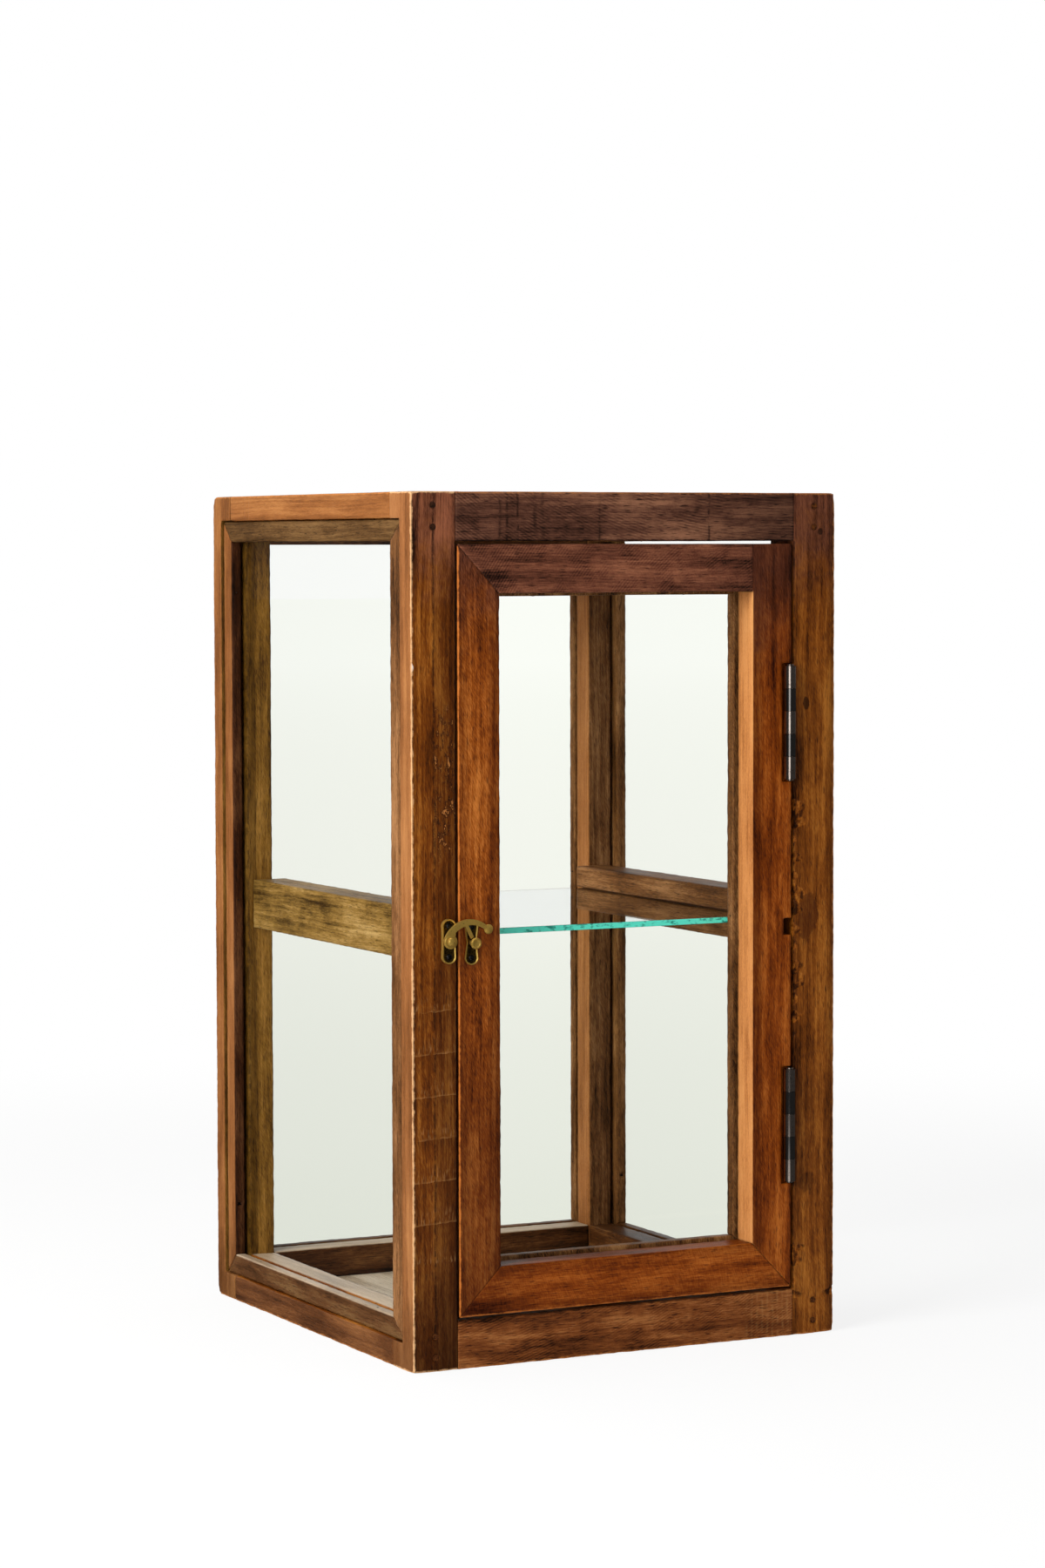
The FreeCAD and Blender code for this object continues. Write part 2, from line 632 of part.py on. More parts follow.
# Door frame: mitred at three corners, the right stile running through at the top
door_turn = Rotation(Vector(1, 0, 0), 90)
far_mitre = {"rail": "door_width - stile_width", "stile": "door_height - door_rail_width"}
door_members = {
    "door_rail_bottom": (("door_left", "door_back", "door_bottom"), "door_rail_width",
                         ("0", "door_width", "stile_width", far_mitre["rail"])),
    "door_stile_right": (("door_right", "door_back", "door_bottom"), "stile_width",
                         ("0", "door_height", "door_rail_width", "door_height")),
    "door_rail_top": (("door_right", "door_back", "door_top"), "door_rail_width",
                      ("stile_width", "door_width", "stile_width", far_mitre["rail"])),
    "door_stile_left": (("door_left", "door_back", "door_top"), "stile_width",
                        ("0", "door_height", "door_rail_width", far_mitre["stile"])),
}
door_rebate = box("door_rebate_box", ("0 - rebate_half_width", "rebate_half_width"),
                  ("front + door_lip", "door_back"),
                  ("door_middle - rebate_half_height", "door_middle + rebate_half_height"))
# The closing edge leans back so that the thick door swings clear of the post
closing_edge = doc.addObject("Part::Wedge", "door_closing_edge")
bind(closing_edge, Xmin="0 - closing_bevel", Xmax="0", X2min="0 - closing_bevel", X2max="closing_bevel")
bind(closing_edge, Ymin="0", Ymax="stock", Zmin="0", Zmax="door_height", Z2min="0", Z2max="door_height")
place(closing_edge, ("door_left", "front", "door_bottom"))
notch = box("door_notch", ("door_right - notch_width", "door_right"), ("front", "front + notch_depth"),
            ("notch_bottom", "notch_bottom + notch_height"))

dowels, dowel_holes = [], []
corner_joints = {"bottom_left": (-1, "stile_width / 2"), "bottom_right": (1, "stile_width / 2"),
                 "top_left": (-1, "stile_width / 2"), "top_right": (1, "stile_width")}
for corner, (sign, joint) in corner_joints.items():
    z = "door_bottom + door_rail_width / 2" if "bottom" in corner else "door_top - door_rail_width / 2"
    x = "%d * (door_right - %s) - dowel_length / 2" % (sign, joint)
    dowel, hole = rod_and_hole("door_dowel_" + corner, (x, "front + door_lip / 2", z), "+x",
                               "dowel_length", "dowel_radius", "dowel_play")
    dowels.append(dowel)
    dowel_holes.append(hole)
keep("door_dowels", group("door_dowels", dowels))
dowel_holes = group("door_dowel_holes", dowel_holes)

door_strips, door_nails, door_nail_holes = beads(
    "door", "2 * rebate_half_width", "2 * rebate_half_height",
    "door_bead_width", "door_bead_thickness", "door_bead_recess")
keep("door_brads", group("door_brads", door_nails))
door_nail_holes = group("door_brad_holes", door_nail_holes)
for label, strip in door_strips.items():
    keep(label, cut(label, strip, door_nail_holes))

for quarter, (label, (corner, width, ends)) in enumerate(door_members.items()):
    blank = trapezoid(label + "_blank", corner, door_turn * Rotation(Vector(0, 0, 1), 90 * quarter),
                      *ends, ("0", width), "stock")
    tools = [door_rebate, dowel_holes, door_nail_holes]
    if label == "door_stile_right":
        tools += [notch] + hinge_cuts[-1]
    else:
        tools.append(closing_edge)
    if label == "door_stile_left":
        tools += [catch_holes, stud_hole]
    keep(label, cut(label, blank, *tools))

keep("door_pane", box("door_pane", ("pane_play - rebate_half_width", "rebate_half_width - pane_play"),
                      ("front + door_lip", "front + door_lip + pane_thickness"),
                      ("door_middle - rebate_half_height + pane_play",
                       "door_middle + rebate_half_height - pane_play")))

# Build, look over and write every piece
doc.recompute()
failed = [item.Label for item in doc.Objects if "Invalid" in item.State or "Error" in item.State]
if failed:
    raise RuntimeError("failed: " + ", ".join(failed))
for label, piece in parts.items():
    if piece.Shape.isNull() or not piece.Shape.isValid() or not piece.Shape.Solids:
        raise RuntimeError("bad shape: " + label)
os.makedirs("parts", exist_ok=True)
for label, piece in parts.items():
    piece.Shape.exportStep("parts/%s.step" % label)
print("%d pieces" % len(parts))
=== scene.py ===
# %% [markdown]
# # A small glass display cabinet
# A box of reclaimed hardwood: square posts and rails, glass held by mitred beads, a glazed door on two butt
# hinges and a brass swing hook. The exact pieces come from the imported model. Blender adds what a ruler
# doesn't show: worn edges, grain, stain, glass and old metal.

# %% Load the pieces
import bpy
import json
import numpy as np
from math import atan2, cos, radians, sin
from mathutils import Matrix, Vector, kdtree

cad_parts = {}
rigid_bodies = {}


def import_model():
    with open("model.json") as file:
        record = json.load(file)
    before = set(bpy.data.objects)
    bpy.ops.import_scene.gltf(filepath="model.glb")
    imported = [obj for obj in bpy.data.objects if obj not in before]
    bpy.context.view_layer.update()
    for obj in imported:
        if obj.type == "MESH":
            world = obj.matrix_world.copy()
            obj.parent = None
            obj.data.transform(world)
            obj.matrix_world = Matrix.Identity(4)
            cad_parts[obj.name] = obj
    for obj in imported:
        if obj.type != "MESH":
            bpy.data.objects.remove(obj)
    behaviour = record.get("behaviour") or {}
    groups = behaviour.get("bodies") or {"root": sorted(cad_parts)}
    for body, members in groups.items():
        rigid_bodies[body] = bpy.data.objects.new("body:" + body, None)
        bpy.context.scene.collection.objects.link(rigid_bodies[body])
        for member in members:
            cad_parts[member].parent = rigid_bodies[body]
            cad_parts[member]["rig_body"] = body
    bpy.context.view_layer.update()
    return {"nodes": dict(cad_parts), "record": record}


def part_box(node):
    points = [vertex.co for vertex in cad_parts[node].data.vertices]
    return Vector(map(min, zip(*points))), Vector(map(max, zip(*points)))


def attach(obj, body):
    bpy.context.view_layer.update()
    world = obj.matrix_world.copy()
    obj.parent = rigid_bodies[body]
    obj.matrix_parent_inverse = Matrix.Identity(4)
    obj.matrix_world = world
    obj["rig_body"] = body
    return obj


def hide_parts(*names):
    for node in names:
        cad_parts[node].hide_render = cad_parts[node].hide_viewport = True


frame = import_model()
MM = 0.001
LEFT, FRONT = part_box("post_front_left")[0].xy
RIGHT, BACK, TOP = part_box("post_rear_right")[1]
print("pieces loaded:", len(frame["nodes"]))

# %% [markdown]
# ## The camera
# The box's corners in the photograph fix where the camera stood: left of the door, a little below the top,
# almost three metres away. Its long lens keeps the uprights almost parallel.

# %% Place the camera
CAMERA_PLACE = Vector((-1.27995, -2.5326, 0.5338))
CAMERA_HEADING, CAMERA_DIP, CAMERA_ROLL = 26.90, 3.31, -0.13
CAMERA_LENS = 93.95

camera_data = bpy.data.cameras.new("camera")
camera_data.lens = CAMERA_LENS
camera_data.clip_end = 200
camera = bpy.data.objects.new("camera", camera_data)
bpy.context.scene.collection.objects.link(camera)
aim = (Matrix.Rotation(radians(-CAMERA_HEADING), 4, "Z")
       @ Matrix.Rotation(radians(90 - CAMERA_DIP), 4, "X")
       @ Matrix.Rotation(radians(CAMERA_ROLL), 4, "Z"))
camera.matrix_world = Matrix.Translation(CAMERA_PLACE) @ aim
bpy.context.scene.camera = camera
print("camera stands", round(CAMERA_PLACE.length, 2), "m from the foot of the cabinet")

# %% [markdown]
# ## A kit for trees of nodes
# A finish is a tree of small nodes, and so is the sky. Short helpers add a node, fill its inputs in order
# and hand back its output.

# %% Helpers for trees of nodes
GAMMA = 2.2
WHITE = (1, 1, 1, 1)


def tone(red, green, blue):
    """A colour given from 0 to 255, as the linear light that shaders work in."""
    return tuple((part / 255) ** GAMMA for part in (red, green, blue)) + (1.0,)


class Nodes:
    """A tree of shader nodes in the making."""

    def __init__(self, tree):
        self.tree = tree

    def new(self, kind, **settings):
        node = self.tree.nodes.new("ShaderNode" + kind)
        for key, value in settings.items():
            setattr(node, key, value)
        return node

    def add(self, kind, *values, out=0, **settings):
        """A new node with its first inputs filled, as one of its outputs."""
        node = self.new(kind, **settings)
        for socket, value in zip(node.inputs, values):
            self.join(value, socket)
        return node.outputs[out]

    def join(self, value, socket):
        if isinstance(value, bpy.types.NodeSocket):
            self.tree.links.new(value, socket)
        elif value is not None:
            socket.default_value = value

    def math(self, operation, *values):
        return self.add("Math", *values, operation=operation)

    def vector(self, operation, *values, out=0):
        return self.add("VectorMath", *values, operation=operation, out=out)

    def times(self, first, second):
        return self.math("MULTIPLY", first, second)

    def plus(self, value, weight, base):
        """A value times its weight, on top of a base."""
        return self.math("MULTIPLY_ADD", value, weight, base)

    def rest(self, share):
        """What a share leaves of 1."""
        return self.math("SUBTRACT", 1.0, share)

    def between(self, share, first, second):
        """A number on the way from one to another."""
        return self.math("ADD", self.times(self.rest(share), first), self.times(share, second))


print("node kit ready")

# %% [markdown]
# ## A kit for finishes
# A material adds a shader and the place of each point. Every pattern reads Object coordinates, so it stays
# on the wood when the door swings.

# %% Helpers for finishes


class Finish(Nodes):
    """A material in the making."""

    def __init__(self, name):
        self.material = bpy.data.materials.new(name)
        self.material.use_nodes = True
        super().__init__(self.material.node_tree)
        self.shader = self.tree.nodes["Principled BSDF"]
        self.place = self.add("TexCoord", out="Object")

    def set(self, **values):
        """Fill inputs of the shader; an underscore stands for a space."""
        for key, value in values.items():
            self.join(value, self.shader.inputs[key.replace("_", " ")])

    def surface(self, shader):
        self.join(shader, self.tree.nodes["Material Output"].inputs["Surface"])

    def along(self, axis):
        return self.add("SeparateXYZ", self.place, out=axis)

    def painted(self, name):
        """A measure that the mesh carries."""
        return self.add("Attribute", out="Fac", attribute_name=name)

    def stretched(self, scale, shift=(0, 0, 0), turn=(0, 0, 0), place=None):
        return self.add("Mapping", place or self.place, shift, turn, scale)

    def noise(self, scale, detail, rough=0.5, place=None):
        return self.add("TexNoise", place or self.place, None, scale, detail, rough)

    def pulled(self, place, share, scale, detail, rough=0.5):
        """Noise pulled long along the third axis."""
        return self.noise(scale, detail, rough, self.stretched((1, 1, share), place=place))

    def band(self, value, low, high):
        """0 below low, 1 above high and a soft step between them."""
        return self.add("MapRange", value, low, high, 0.0, 1.0, interpolation_type="SMOOTHSTEP")

    def blend(self, share, first, second):
        node = self.new("Mix", data_type="RGBA")
        self.join(share, node.inputs[0])
        self.join(first, node.inputs[6])
        self.join(second, node.inputs[7])
        return node.outputs[2]

    def ramp(self, value, stops):
        node = self.new("ValToRGB")
        marks = node.color_ramp.elements
        while len(marks) < len(stops):
            marks.new(0.5)
        for mark, (at, colour) in zip(marks, stops):
            mark.position = at
            mark.color = colour
        self.join(value, node.inputs[0])
        return node.outputs[0]

    def share(self, *parts):
        """The sum of values, each with its weight."""
        total = 0.0
        for value, weight in parts:
            total = self.plus(value, weight, total)
        return total


def dress(piece, *finishes):
    """Give a piece these materials and no others."""
    piece.data.materials.clear()
    for finish in finishes:
        piece.data.materials.append(finish)


print("finish kit ready")

# %% [markdown]
# ## The studio floor
# A pale floor that looks white to the camera and lights the wood at a plain level. Through glass it shows
# painted shade: greyer near the cabinet and white far off. Its shader asks what kind of ray is looking.
# Mirrors see a dark floor with one bright pool, for a glint on the lower hinge.

# %% Make the floor
FLOOR_REACH = 40.0
FLOOR_GREY = (0.8, 0.8, 0.79, 1)
NEAR_FLOOR, FAR_FLOOR = 0.6, 1.5
SHADOW_SHARE = 0.2
FLOOR_MIRRORED = (0.04, 0.7)
POOL_MIDDLE, POOL_RADIUS = (-0.22, -0.74, 0.0), 0.3
# painted shade on the floor as seen through glass: greyer near the cabinet, white far off
PAINTED_FLOOR_FALLOFF = [(0.0, tone(226, 229, 219)), (0.02, tone(232, 234, 226)), (0.09, tone(245, 246, 240)),
        (0.4, tone(253, 254, 250))]

bpy.ops.mesh.primitive_circle_add(vertices=64, radius=FLOOR_REACH, fill_type="NGON")
floor = bpy.context.object
floor.name = "floor"

ground = Finish("floor_white")
rays = ground.new("LightPath").outputs
distance = ground.vector("LENGTH", ground.place, out="Value")
# the glow that glass sees is painted shade, darker towards the cabinet
painted_falloff = ground.ramp(ground.math("DIVIDE", distance, FLOOR_REACH), PAINTED_FLOOR_FALLOFF)
near = ground.rest(ground.band(distance, NEAR_FLOOR, FAR_FLOOR))
lit = ground.add("BsdfDiffuse", FLOOR_GREY)
glow = ground.add("Emission", WHITE, ground.plus(near, -FLOOR_GREY[0] * SHADOW_SHARE, 1.0))
shadow = ground.add("MixShader", ground.times(near, SHADOW_SHARE), None, lit)
for_camera = ground.add("AddShader", shadow, glow)
falloff_for_glass = ground.add("Emission", painted_falloff, 1.0)
pool = ground.vector("DISTANCE", ground.place, POOL_MIDDLE, out="Value")
mirrored = ground.add("MapRange", pool, POOL_RADIUS / 2, POOL_RADIUS, FLOOR_MIRRORED[1], FLOOR_MIRRORED[0])
in_mirrors = ground.add("Emission", WHITE, mirrored)
mixed = ground.add("MixShader", rays["Is Camera Ray"], lit, for_camera)
mixed = ground.add("MixShader", rays["Is Transmission Ray"], mixed, falloff_for_glass)
mixed = ground.add("MixShader", ground.math("MINIMUM", rays["Glossy Depth"], 1.0), mixed, in_mirrors)
ground.surface(mixed)
dress(floor, ground.material)
print("floor radius", FLOOR_REACH, "m")

# %% [markdown]
# ## The light
# A large soft lamp on the left makes the left faces more than twice as bright as the front. A weaker one
# stands in front and one overhead. Mirrors see a sky that is bright only on the right behind, and not the
# large lamp, which would whiten the hinges.

# %% Light the studio
AMBIENT = 0.22
STUDIO_FRONT, STUDIO_LEFT, STUDIO_RIGHT = 0.06, 0.14, 1.0
BEHIND_RANGE, RIGHT_RANGE = (-0.3, 0.4), (-0.35, 0.35)
LAMP_AIM = Vector((0, 0, 0.3))
LAMPS = {
    # name: place, size, watts
    "left_softbox": ((-2.1, -0.8, 1.25), (1.3, 1.9), 70),
    "front_panel": ((-1.4, -2.5, 0.85), (1.5, 1.5), 9),
    "overhead": ((-0.3, 0.2, 2.3), (1.6, 1.6), 16),
}

world = bpy.data.worlds.new("studio")
bpy.context.scene.world = world
world.use_nodes = True
sky = Nodes(world.node_tree)
rays = sky.new("LightPath").outputs
sides = sky.new("SeparateXYZ")
sky.join(sky.add("TexCoord", out="Generated"), sides.inputs[0])
behind = sky.add("MapRange", sides.outputs["Y"], *BEHIND_RANGE)
right = sky.add("MapRange", sides.outputs["X"], *RIGHT_RANGE)
in_mirrors = sky.between(behind, STUDIO_FRONT, sky.between(right, STUDIO_LEFT, STUDIO_RIGHT))
seen = sky.math("MAXIMUM", rays["Is Camera Ray"], rays["Is Transmission Ray"])
level = sky.between(seen, AMBIENT, 1.0)
level = sky.between(sky.math("MINIMUM", rays["Glossy Depth"], 1.0), level, in_mirrors)
background = sky.tree.nodes["Background"].inputs
sky.join(level, background["Strength"])
sky.join(WHITE, background["Color"])

for name, (place, size, watts) in LAMPS.items():
    lamp_data = bpy.data.lights.new(name, "AREA")
    lamp_data.shape = "RECTANGLE"
    lamp_data.size, lamp_data.size_y = size
    lamp_data.energy = watts
    lamp = bpy.data.objects.new(name, lamp_data)
    bpy.context.scene.collection.objects.link(lamp)
    lamp.location = place
    lamp.rotation_euler = (LAMP_AIM - Vector(place)).to_track_quat("-Z", "Y").to_euler()
    lamp.visible_camera = False
    lamp.visible_transmission = False
    lamp.visible_glossy = name != "left_softbox"
bpy.context.scene.view_settings.view_transform = "Standard"
print("lamps:", ", ".join(LAMPS))

# %% [markdown]
# ## The sticks and their edges
# The sticks were cut from old boards and their edges are rubbed round. A bevel is too even for that, so
# each stick is copied, to be worn point by point. First its sharp outer edges are found, where two faces
# meet steeply and bulge outwards.

# %% Copy the sticks and find their edges
SAMPLE_STEP = 1.0 * MM
SHARP = radians(50)
TOUCHING = 1e-6
INWARD = -1e-7
slot_of = {part["node"]: part["material_slot"] for part in frame["record"]["subparts"]}.get
NOT_STICKS = ("frame_pegs", "door_dowels", "base_panel", "top_panel")


def mode(name):
    bpy.ops.object.mode_set(mode=name)


def edit_all():
    mode("EDIT")
    bpy.ops.mesh.select_all(action="SELECT")


def activate(piece):
    bpy.context.view_layer.objects.active = piece


def merged_copy(node, name):
    """A copy of one piece with its loose triangles joined, as a new object."""
    piece = bpy.data.objects.new(name, frame["nodes"][node].data.copy())
    bpy.context.scene.collection.objects.link(piece)
    bpy.ops.object.select_all(action="DESELECT")
    piece.select_set(True)
    activate(piece)
    edit_all()
    bpy.ops.mesh.remove_doubles(threshold=TOUCHING)
    bpy.ops.mesh.customdata_custom_splitnormals_clear()
    mode("OBJECT")
    return piece


def sharp_edge_points(piece):
    """Points along each sharp outer edge of a merged piece."""
    mesh = piece.data
    faces_at = {}
    for face in mesh.polygons:
        for key in face.edge_keys:
            faces_at.setdefault(key, []).append(face)
    points = []
    for (a, b), faces in faces_at.items():
        if len(faces) != 2 or faces[0].normal.angle(faces[1].normal, 0) < SHARP:
            continue
        if (faces[1].center - faces[0].center).dot(faces[0].normal) > INWARD:
            continue
        start, end = mesh.vertices[a].co, mesh.vertices[b].co
        count = max(2, round((end - start).length / SAMPLE_STEP))
        points += [start.lerp(end, step / count) for step in range(count + 1)]
    return points


timber_nodes = sorted(node for node in frame["nodes"]
                      if slot_of(node).endswith("_wood") and node not in NOT_STICKS)
sticks = {node: merged_copy(node, "timber_" + node) for node in timber_nodes}
edge_points = {node: sharp_edge_points(stick) for node, stick in sticks.items()}
pegs = merged_copy("frame_pegs", "pegs_to_measure")
edge_points["frame_pegs"] = sharp_edge_points(pegs)
bpy.data.objects.remove(pegs)
print("sticks:", len(sticks), "edge points:", sum(map(len, edge_points.values())))

# %% [markdown]
# ## Which edges are worn
# An edge that meets another stick is sheltered, and the others are free. Hands rub the outside of the case
# and the latch side of the door, and the edges around the door's gap get painted shade. A search tree finds
# the nearest of many points quickly.

# %% Sort the free edges
SEAM = 0.6 * MM
OUTER_REACH = 3.0 * MM
OPENING_LEFT, OPENING_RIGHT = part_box("post_front_left")[1].x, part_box("post_front_right")[0].x
OPENING_BOTTOM, OPENING_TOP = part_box("rail_bottom_front")[1].z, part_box("rail_top_front")[0].z
DOOR_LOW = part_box("door_stile_left")[0]


def search_tree(points):
    tree = kdtree.KDTree(len(points))
    for number, point in enumerate(points):
        tree.insert(point, number)
    tree.balance()
    return tree


def by_the_door(point):
    """Whether a point lies on the edge of the door's opening."""
    return (point.y < FRONT + SEAM and
            min(abs(point.x - OPENING_LEFT), abs(point.x - OPENING_RIGHT),
                abs(point.z - OPENING_BOTTOM), abs(point.z - OPENING_TOP)) < SEAM)


def handled(node, point):
    """Whether hands rub an edge: the outer edges of the case, and the left and lower edges of the door."""
    if node.startswith("door_"):
        return point.x < DOOR_LOW.x + SEAM or point.z < DOOR_LOW.z + SEAM
    gaps = (point.x - LEFT, RIGHT - point.x, point.y - FRONT, BACK - point.y, point.z, TOP - point.z)
    return sum(gap < OUTER_REACH for gap in gaps) > 1


def edge_trees(node):
    """Search trees of a stick's free edge points: all, the rubbed ones and those by the door."""
    free = [point for point in edge_points[node]
            if all(owners[number] == node for _, number, _ in edge_tree.find_range(point, SEAM))]
    rubbed = [point for point in free if handled(node, point)]
    by_door = [point for point in free if by_the_door(point)]
    return search_tree(free), search_tree(rubbed), search_tree(by_door)


owners = [node for node, points in edge_points.items() for _ in points]
edge_tree = search_tree([point for points in edge_points.values() for point in points])
print("edges on", len(edge_points), "pieces can be searched")

# %% [markdown]
# ## Tools for wear
# A modifier applied at once works like a hand tool: smoothing rounds, and displacing by clouds eats into
# the surface, mostly inwards, so the door still clears its frame. Weights tell each tool where to press.

# %% Helpers for wear
WEIGHT_STEPS = 10
FAR_AWAY = 1.0
CLOUD_MIDDLE = 0.8


def cloud(name, size):
    texture = bpy.data.textures.new(name, "CLOUDS")
    texture.noise_scale = size
    return texture


def modify(piece, kind, **settings):
    modifier = piece.modifiers.new(kind.lower(), kind)
    for key, value in settings.items():
        setattr(modifier, key, value)
    activate(piece)
    bpy.ops.object.modifier_apply(modifier=modifier.name)


def eat(piece, texture, depth, where=""):
    """Sink the surface by up to a depth, along its normals."""
    modify(piece, "DISPLACE", texture=texture, texture_coords="LOCAL", strength=depth, mid_level=CLOUD_MIDDLE,
           vertex_group=where)


def read_vectors(items, key):
    found = np.empty(len(items) * 3, np.float32)
    items.foreach_get(key, found)
    return found.reshape(-1, 3)


def paint_weights(piece, name, values):
    group = piece.vertex_groups.new(name=name)
    for level in range(1, WEIGHT_STEPS + 1):
        chosen = np.flatnonzero(np.round(values * WEIGHT_STEPS) == level)
        if len(chosen):
            group.add(chosen.tolist(), level / WEIGHT_STEPS, "REPLACE")


def gaps_to(tree, at):
    """How far each place is from the nearest of a tree's points."""
    if tree.find((0, 0, 0))[0] is None:
        return np.full(len(at), FAR_AWAY)
    return np.array([tree.find(place)[2] for place in at.tolist()])


def closeness(gaps, reach):
    """1 on an edge, falling to 0 at a reach from it."""
    return np.clip(1 - gaps / reach, 0, 1)


uneven = cloud("uneven", 45 * MM)
nibbled = cloud("nibbled", 6 * MM)
chipped = cloud("chipped", 4 * MM)
print("clouds:", ", ".join(texture.name for texture in (uneven, nibbled, chipped)))

# %% [markdown]
# ## Where the wood changed
# The outer left faces are bleached by light, and so are a few others. Dust lies on the inner sills of two
# rails. Splinters broke off the right post beside the door, more at some heights than others, so three
# waves set how far they run.

# %% Measure the faces and the chips
SQUARE_ON, LEVEL = 0.7, 0.8
SKIN = 1.2 * MM
SILL_START = 14 * MM
DUSTY_STICKS = ("rail_bottom_left", "rail_bottom_back")
PALE_UP_TO = {"door_stile_right": FAR_AWAY, "post_rear_right": FAR_AWAY, "left_bead_rear": LEFT + 3 * MM}
CHIP_REACH, NO_CHIP = 11.0 * MM, 0.02 * MM
CHIP_MEAN, CHIP_SWING, CHIP_LEAST = 0.42, 0.4, 0.02
CHIPPED_HEIGHTS = ((200 * MM, 365 * MM), (25 * MM, 62 * MM))
CHIP_WAVES = ((9.1, 0.2), (4.3, 1.3), (1.9, 0.4))


def pale_places(node, at, facing):
    """Which corners of a stick lie on bleached faces."""
    pale = (facing[:, 0] < -SQUARE_ON) & (at[:, 0] < PALE_UP_TO.get(node, LEFT + SKIN))
    if node == "left_bead_bottom":
        pale = facing[:, 2] > LEVEL
    if node == "post_rear_left":
        pale |= (facing[:, 2] > SQUARE_ON) | ((facing[:, 1] > SQUARE_ON) & (at[:, 1] > BACK - SKIN))
    if node == "door_stile_right":
        pale &= at[:, 2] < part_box("door_rail_top")[0].z
    return pale


def dusty_places(node, at, facing):
    """Which corners of a stick lie on a dusty sill."""
    inside = np.min([at[:, 0] - LEFT, RIGHT - at[:, 0], BACK - at[:, 1]], axis=0) > SILL_START
    return inside & (facing[:, 2] > LEVEL) & (node in DUSTY_STICKS)


def ragged_reach(heights):
    """How far chips run in from the edge, which changes from one height to the next."""
    waves = sum(np.sin(heights / (size * MM) + shift) for size, shift in CHIP_WAVES)
    inside = np.any([(heights > low) & (heights < high) for low, high in CHIPPED_HEIGHTS], axis=0)
    return np.where(inside, CHIP_REACH * np.clip(CHIP_MEAN + CHIP_SWING * waves, CHIP_LEAST, 1), NO_CHIP)


print("bleached further in:", ", ".join(PALE_UP_TO))

# %% [markdown]
# ## Wear on each stick
# Remeshing turns a stick into a fine even grid that can be rounded and eaten like real wood. The front gets
# the finest grid, as it is seen from nearest. The grid also carries the measures for the finish.

# %% Remesh, round and wear each stick
FINE_GRID, COARSE_GRID = 1.1 * MM, 1.6 * MM
# the second reach is how far painted shade spreads from the door's gap
RUB_REACH, GAP_SHADE_REACH, KNOCK_REACH = 2.6 * MM, 1.3 * MM, 6.0 * MM
EDGE_ROUNDS, CORNER_ROUNDS = 2, 18
UNEVEN_DEPTH, NIBBLE_DEPTH, CHIP_DEPTH = 0.4 * MM, 0.7 * MM, 3.0 * MM
UNDERSIDE, DEEPER = 539 * MM, 2.2 * MM
FRONT_STICKS = ("door_stile", "door_rail", "post_front", "rail_top_front", "rail_bottom_front")
BOX_CORNERS = [Vector((x, y, z)) for x in (LEFT, RIGHT) for y in (FRONT, BACK) for z in (0, TOP)]


def measure(node, stick):
    """Write on a stick where it is rubbed, pale, dusty and chipped, where shade is painted by the door's gap,
    and where tools should press.
    """
    free_tree, rub_tree, door_tree = edge_trees(node)
    at = read_vectors(stick.data.vertices, "co")
    facing = read_vectors(stick.data.vertex_normals, "vector")
    door_gaps = gaps_to(door_tree, at)
    knocked = np.min([np.linalg.norm(at - np.array(corner), axis=1) for corner in BOX_CORNERS], axis=0)
    chips = np.zeros(len(at))
    if node == "post_front_right":
        chips = closeness(door_gaps, ragged_reach(at[:, 2]))
    # the measure by the door's gap marks where shade is painted, darkest on the gap's edges
    measures = {"rubbed": closeness(gaps_to(rub_tree, at), RUB_REACH),
                "painted_gap_shade": closeness(door_gaps, GAP_SHADE_REACH), "pale": pale_places(node, at, facing),
                "dusty": dusty_places(node, at, facing), "chipped": chips}
    for name, values in measures.items():
        layer = stick.data.attributes.new(name, "FLOAT", "POINT")
        layer.data.foreach_set("value", values.astype(np.float32))
    paint_weights(stick, "edges", closeness(gaps_to(free_tree, at), RUB_REACH))
    paint_weights(stick, "corners", np.clip(2 - 2 * knocked / KNOCK_REACH, 0, 1))
    paint_weights(stick, "chips", chips)
    return chips.any()


for node, stick in sticks.items():
    activate(stick)
    stick.data.remesh_voxel_size = FINE_GRID if node.startswith(FRONT_STICKS) else COARSE_GRID
    if node == "rail_top_back":
        # this rail is a little deeper than the others, which closes the view over the door
        for corner in stick.data.vertices:
            corner.co.z -= DEEPER * (corner.co.z < UNDERSIDE)
    bpy.ops.object.voxel_remesh()
    has_chips = measure(node, stick)
    modify(stick, "SMOOTH", factor=0.5, iterations=EDGE_ROUNDS, vertex_group="edges")
    modify(stick, "SMOOTH", factor=0.5, iterations=CORNER_ROUNDS, vertex_group="corners")
    eat(stick, uneven, UNEVEN_DEPTH)
    eat(stick, nibbled, NIBBLE_DEPTH, "edges")
    if has_chips:
        eat(stick, chipped, CHIP_DEPTH, "chips")
    stick.data.polygons.foreach_set("use_smooth", [True] * len(stick.data.polygons))
    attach(stick, frame["nodes"][node]["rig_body"])
    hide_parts(node)
print("faces in all sticks:", sum(len(stick.data.polygons) for stick in sticks.values()))

# %% [markdown]
# ## Old wood: the grain
# A ring is a distance from the tree's heart, which lay beside the stick, so it shows as stripes on one face
# and curves on the next. Fibres are noise pulled long along the grain, pores are dark dashes, and flecks
# lean across. They add up to one level from dark to light, and to a relief.

# %% Grow the grain
GRAIN_TURNS = {"x": (0, radians(90), 0), "y": (radians(90), 0, 0), "z": (0, 0, 0)}
FLECKS = {"x": 0.05, "y": 0.05, "z": 0.16}
FLECK_LEAN = radians(22)
BENDING, SWAYING = (0.012, 0.012, 0.0), (0.02, 0.0, 0.02)
HALF_RANGE = 0.14


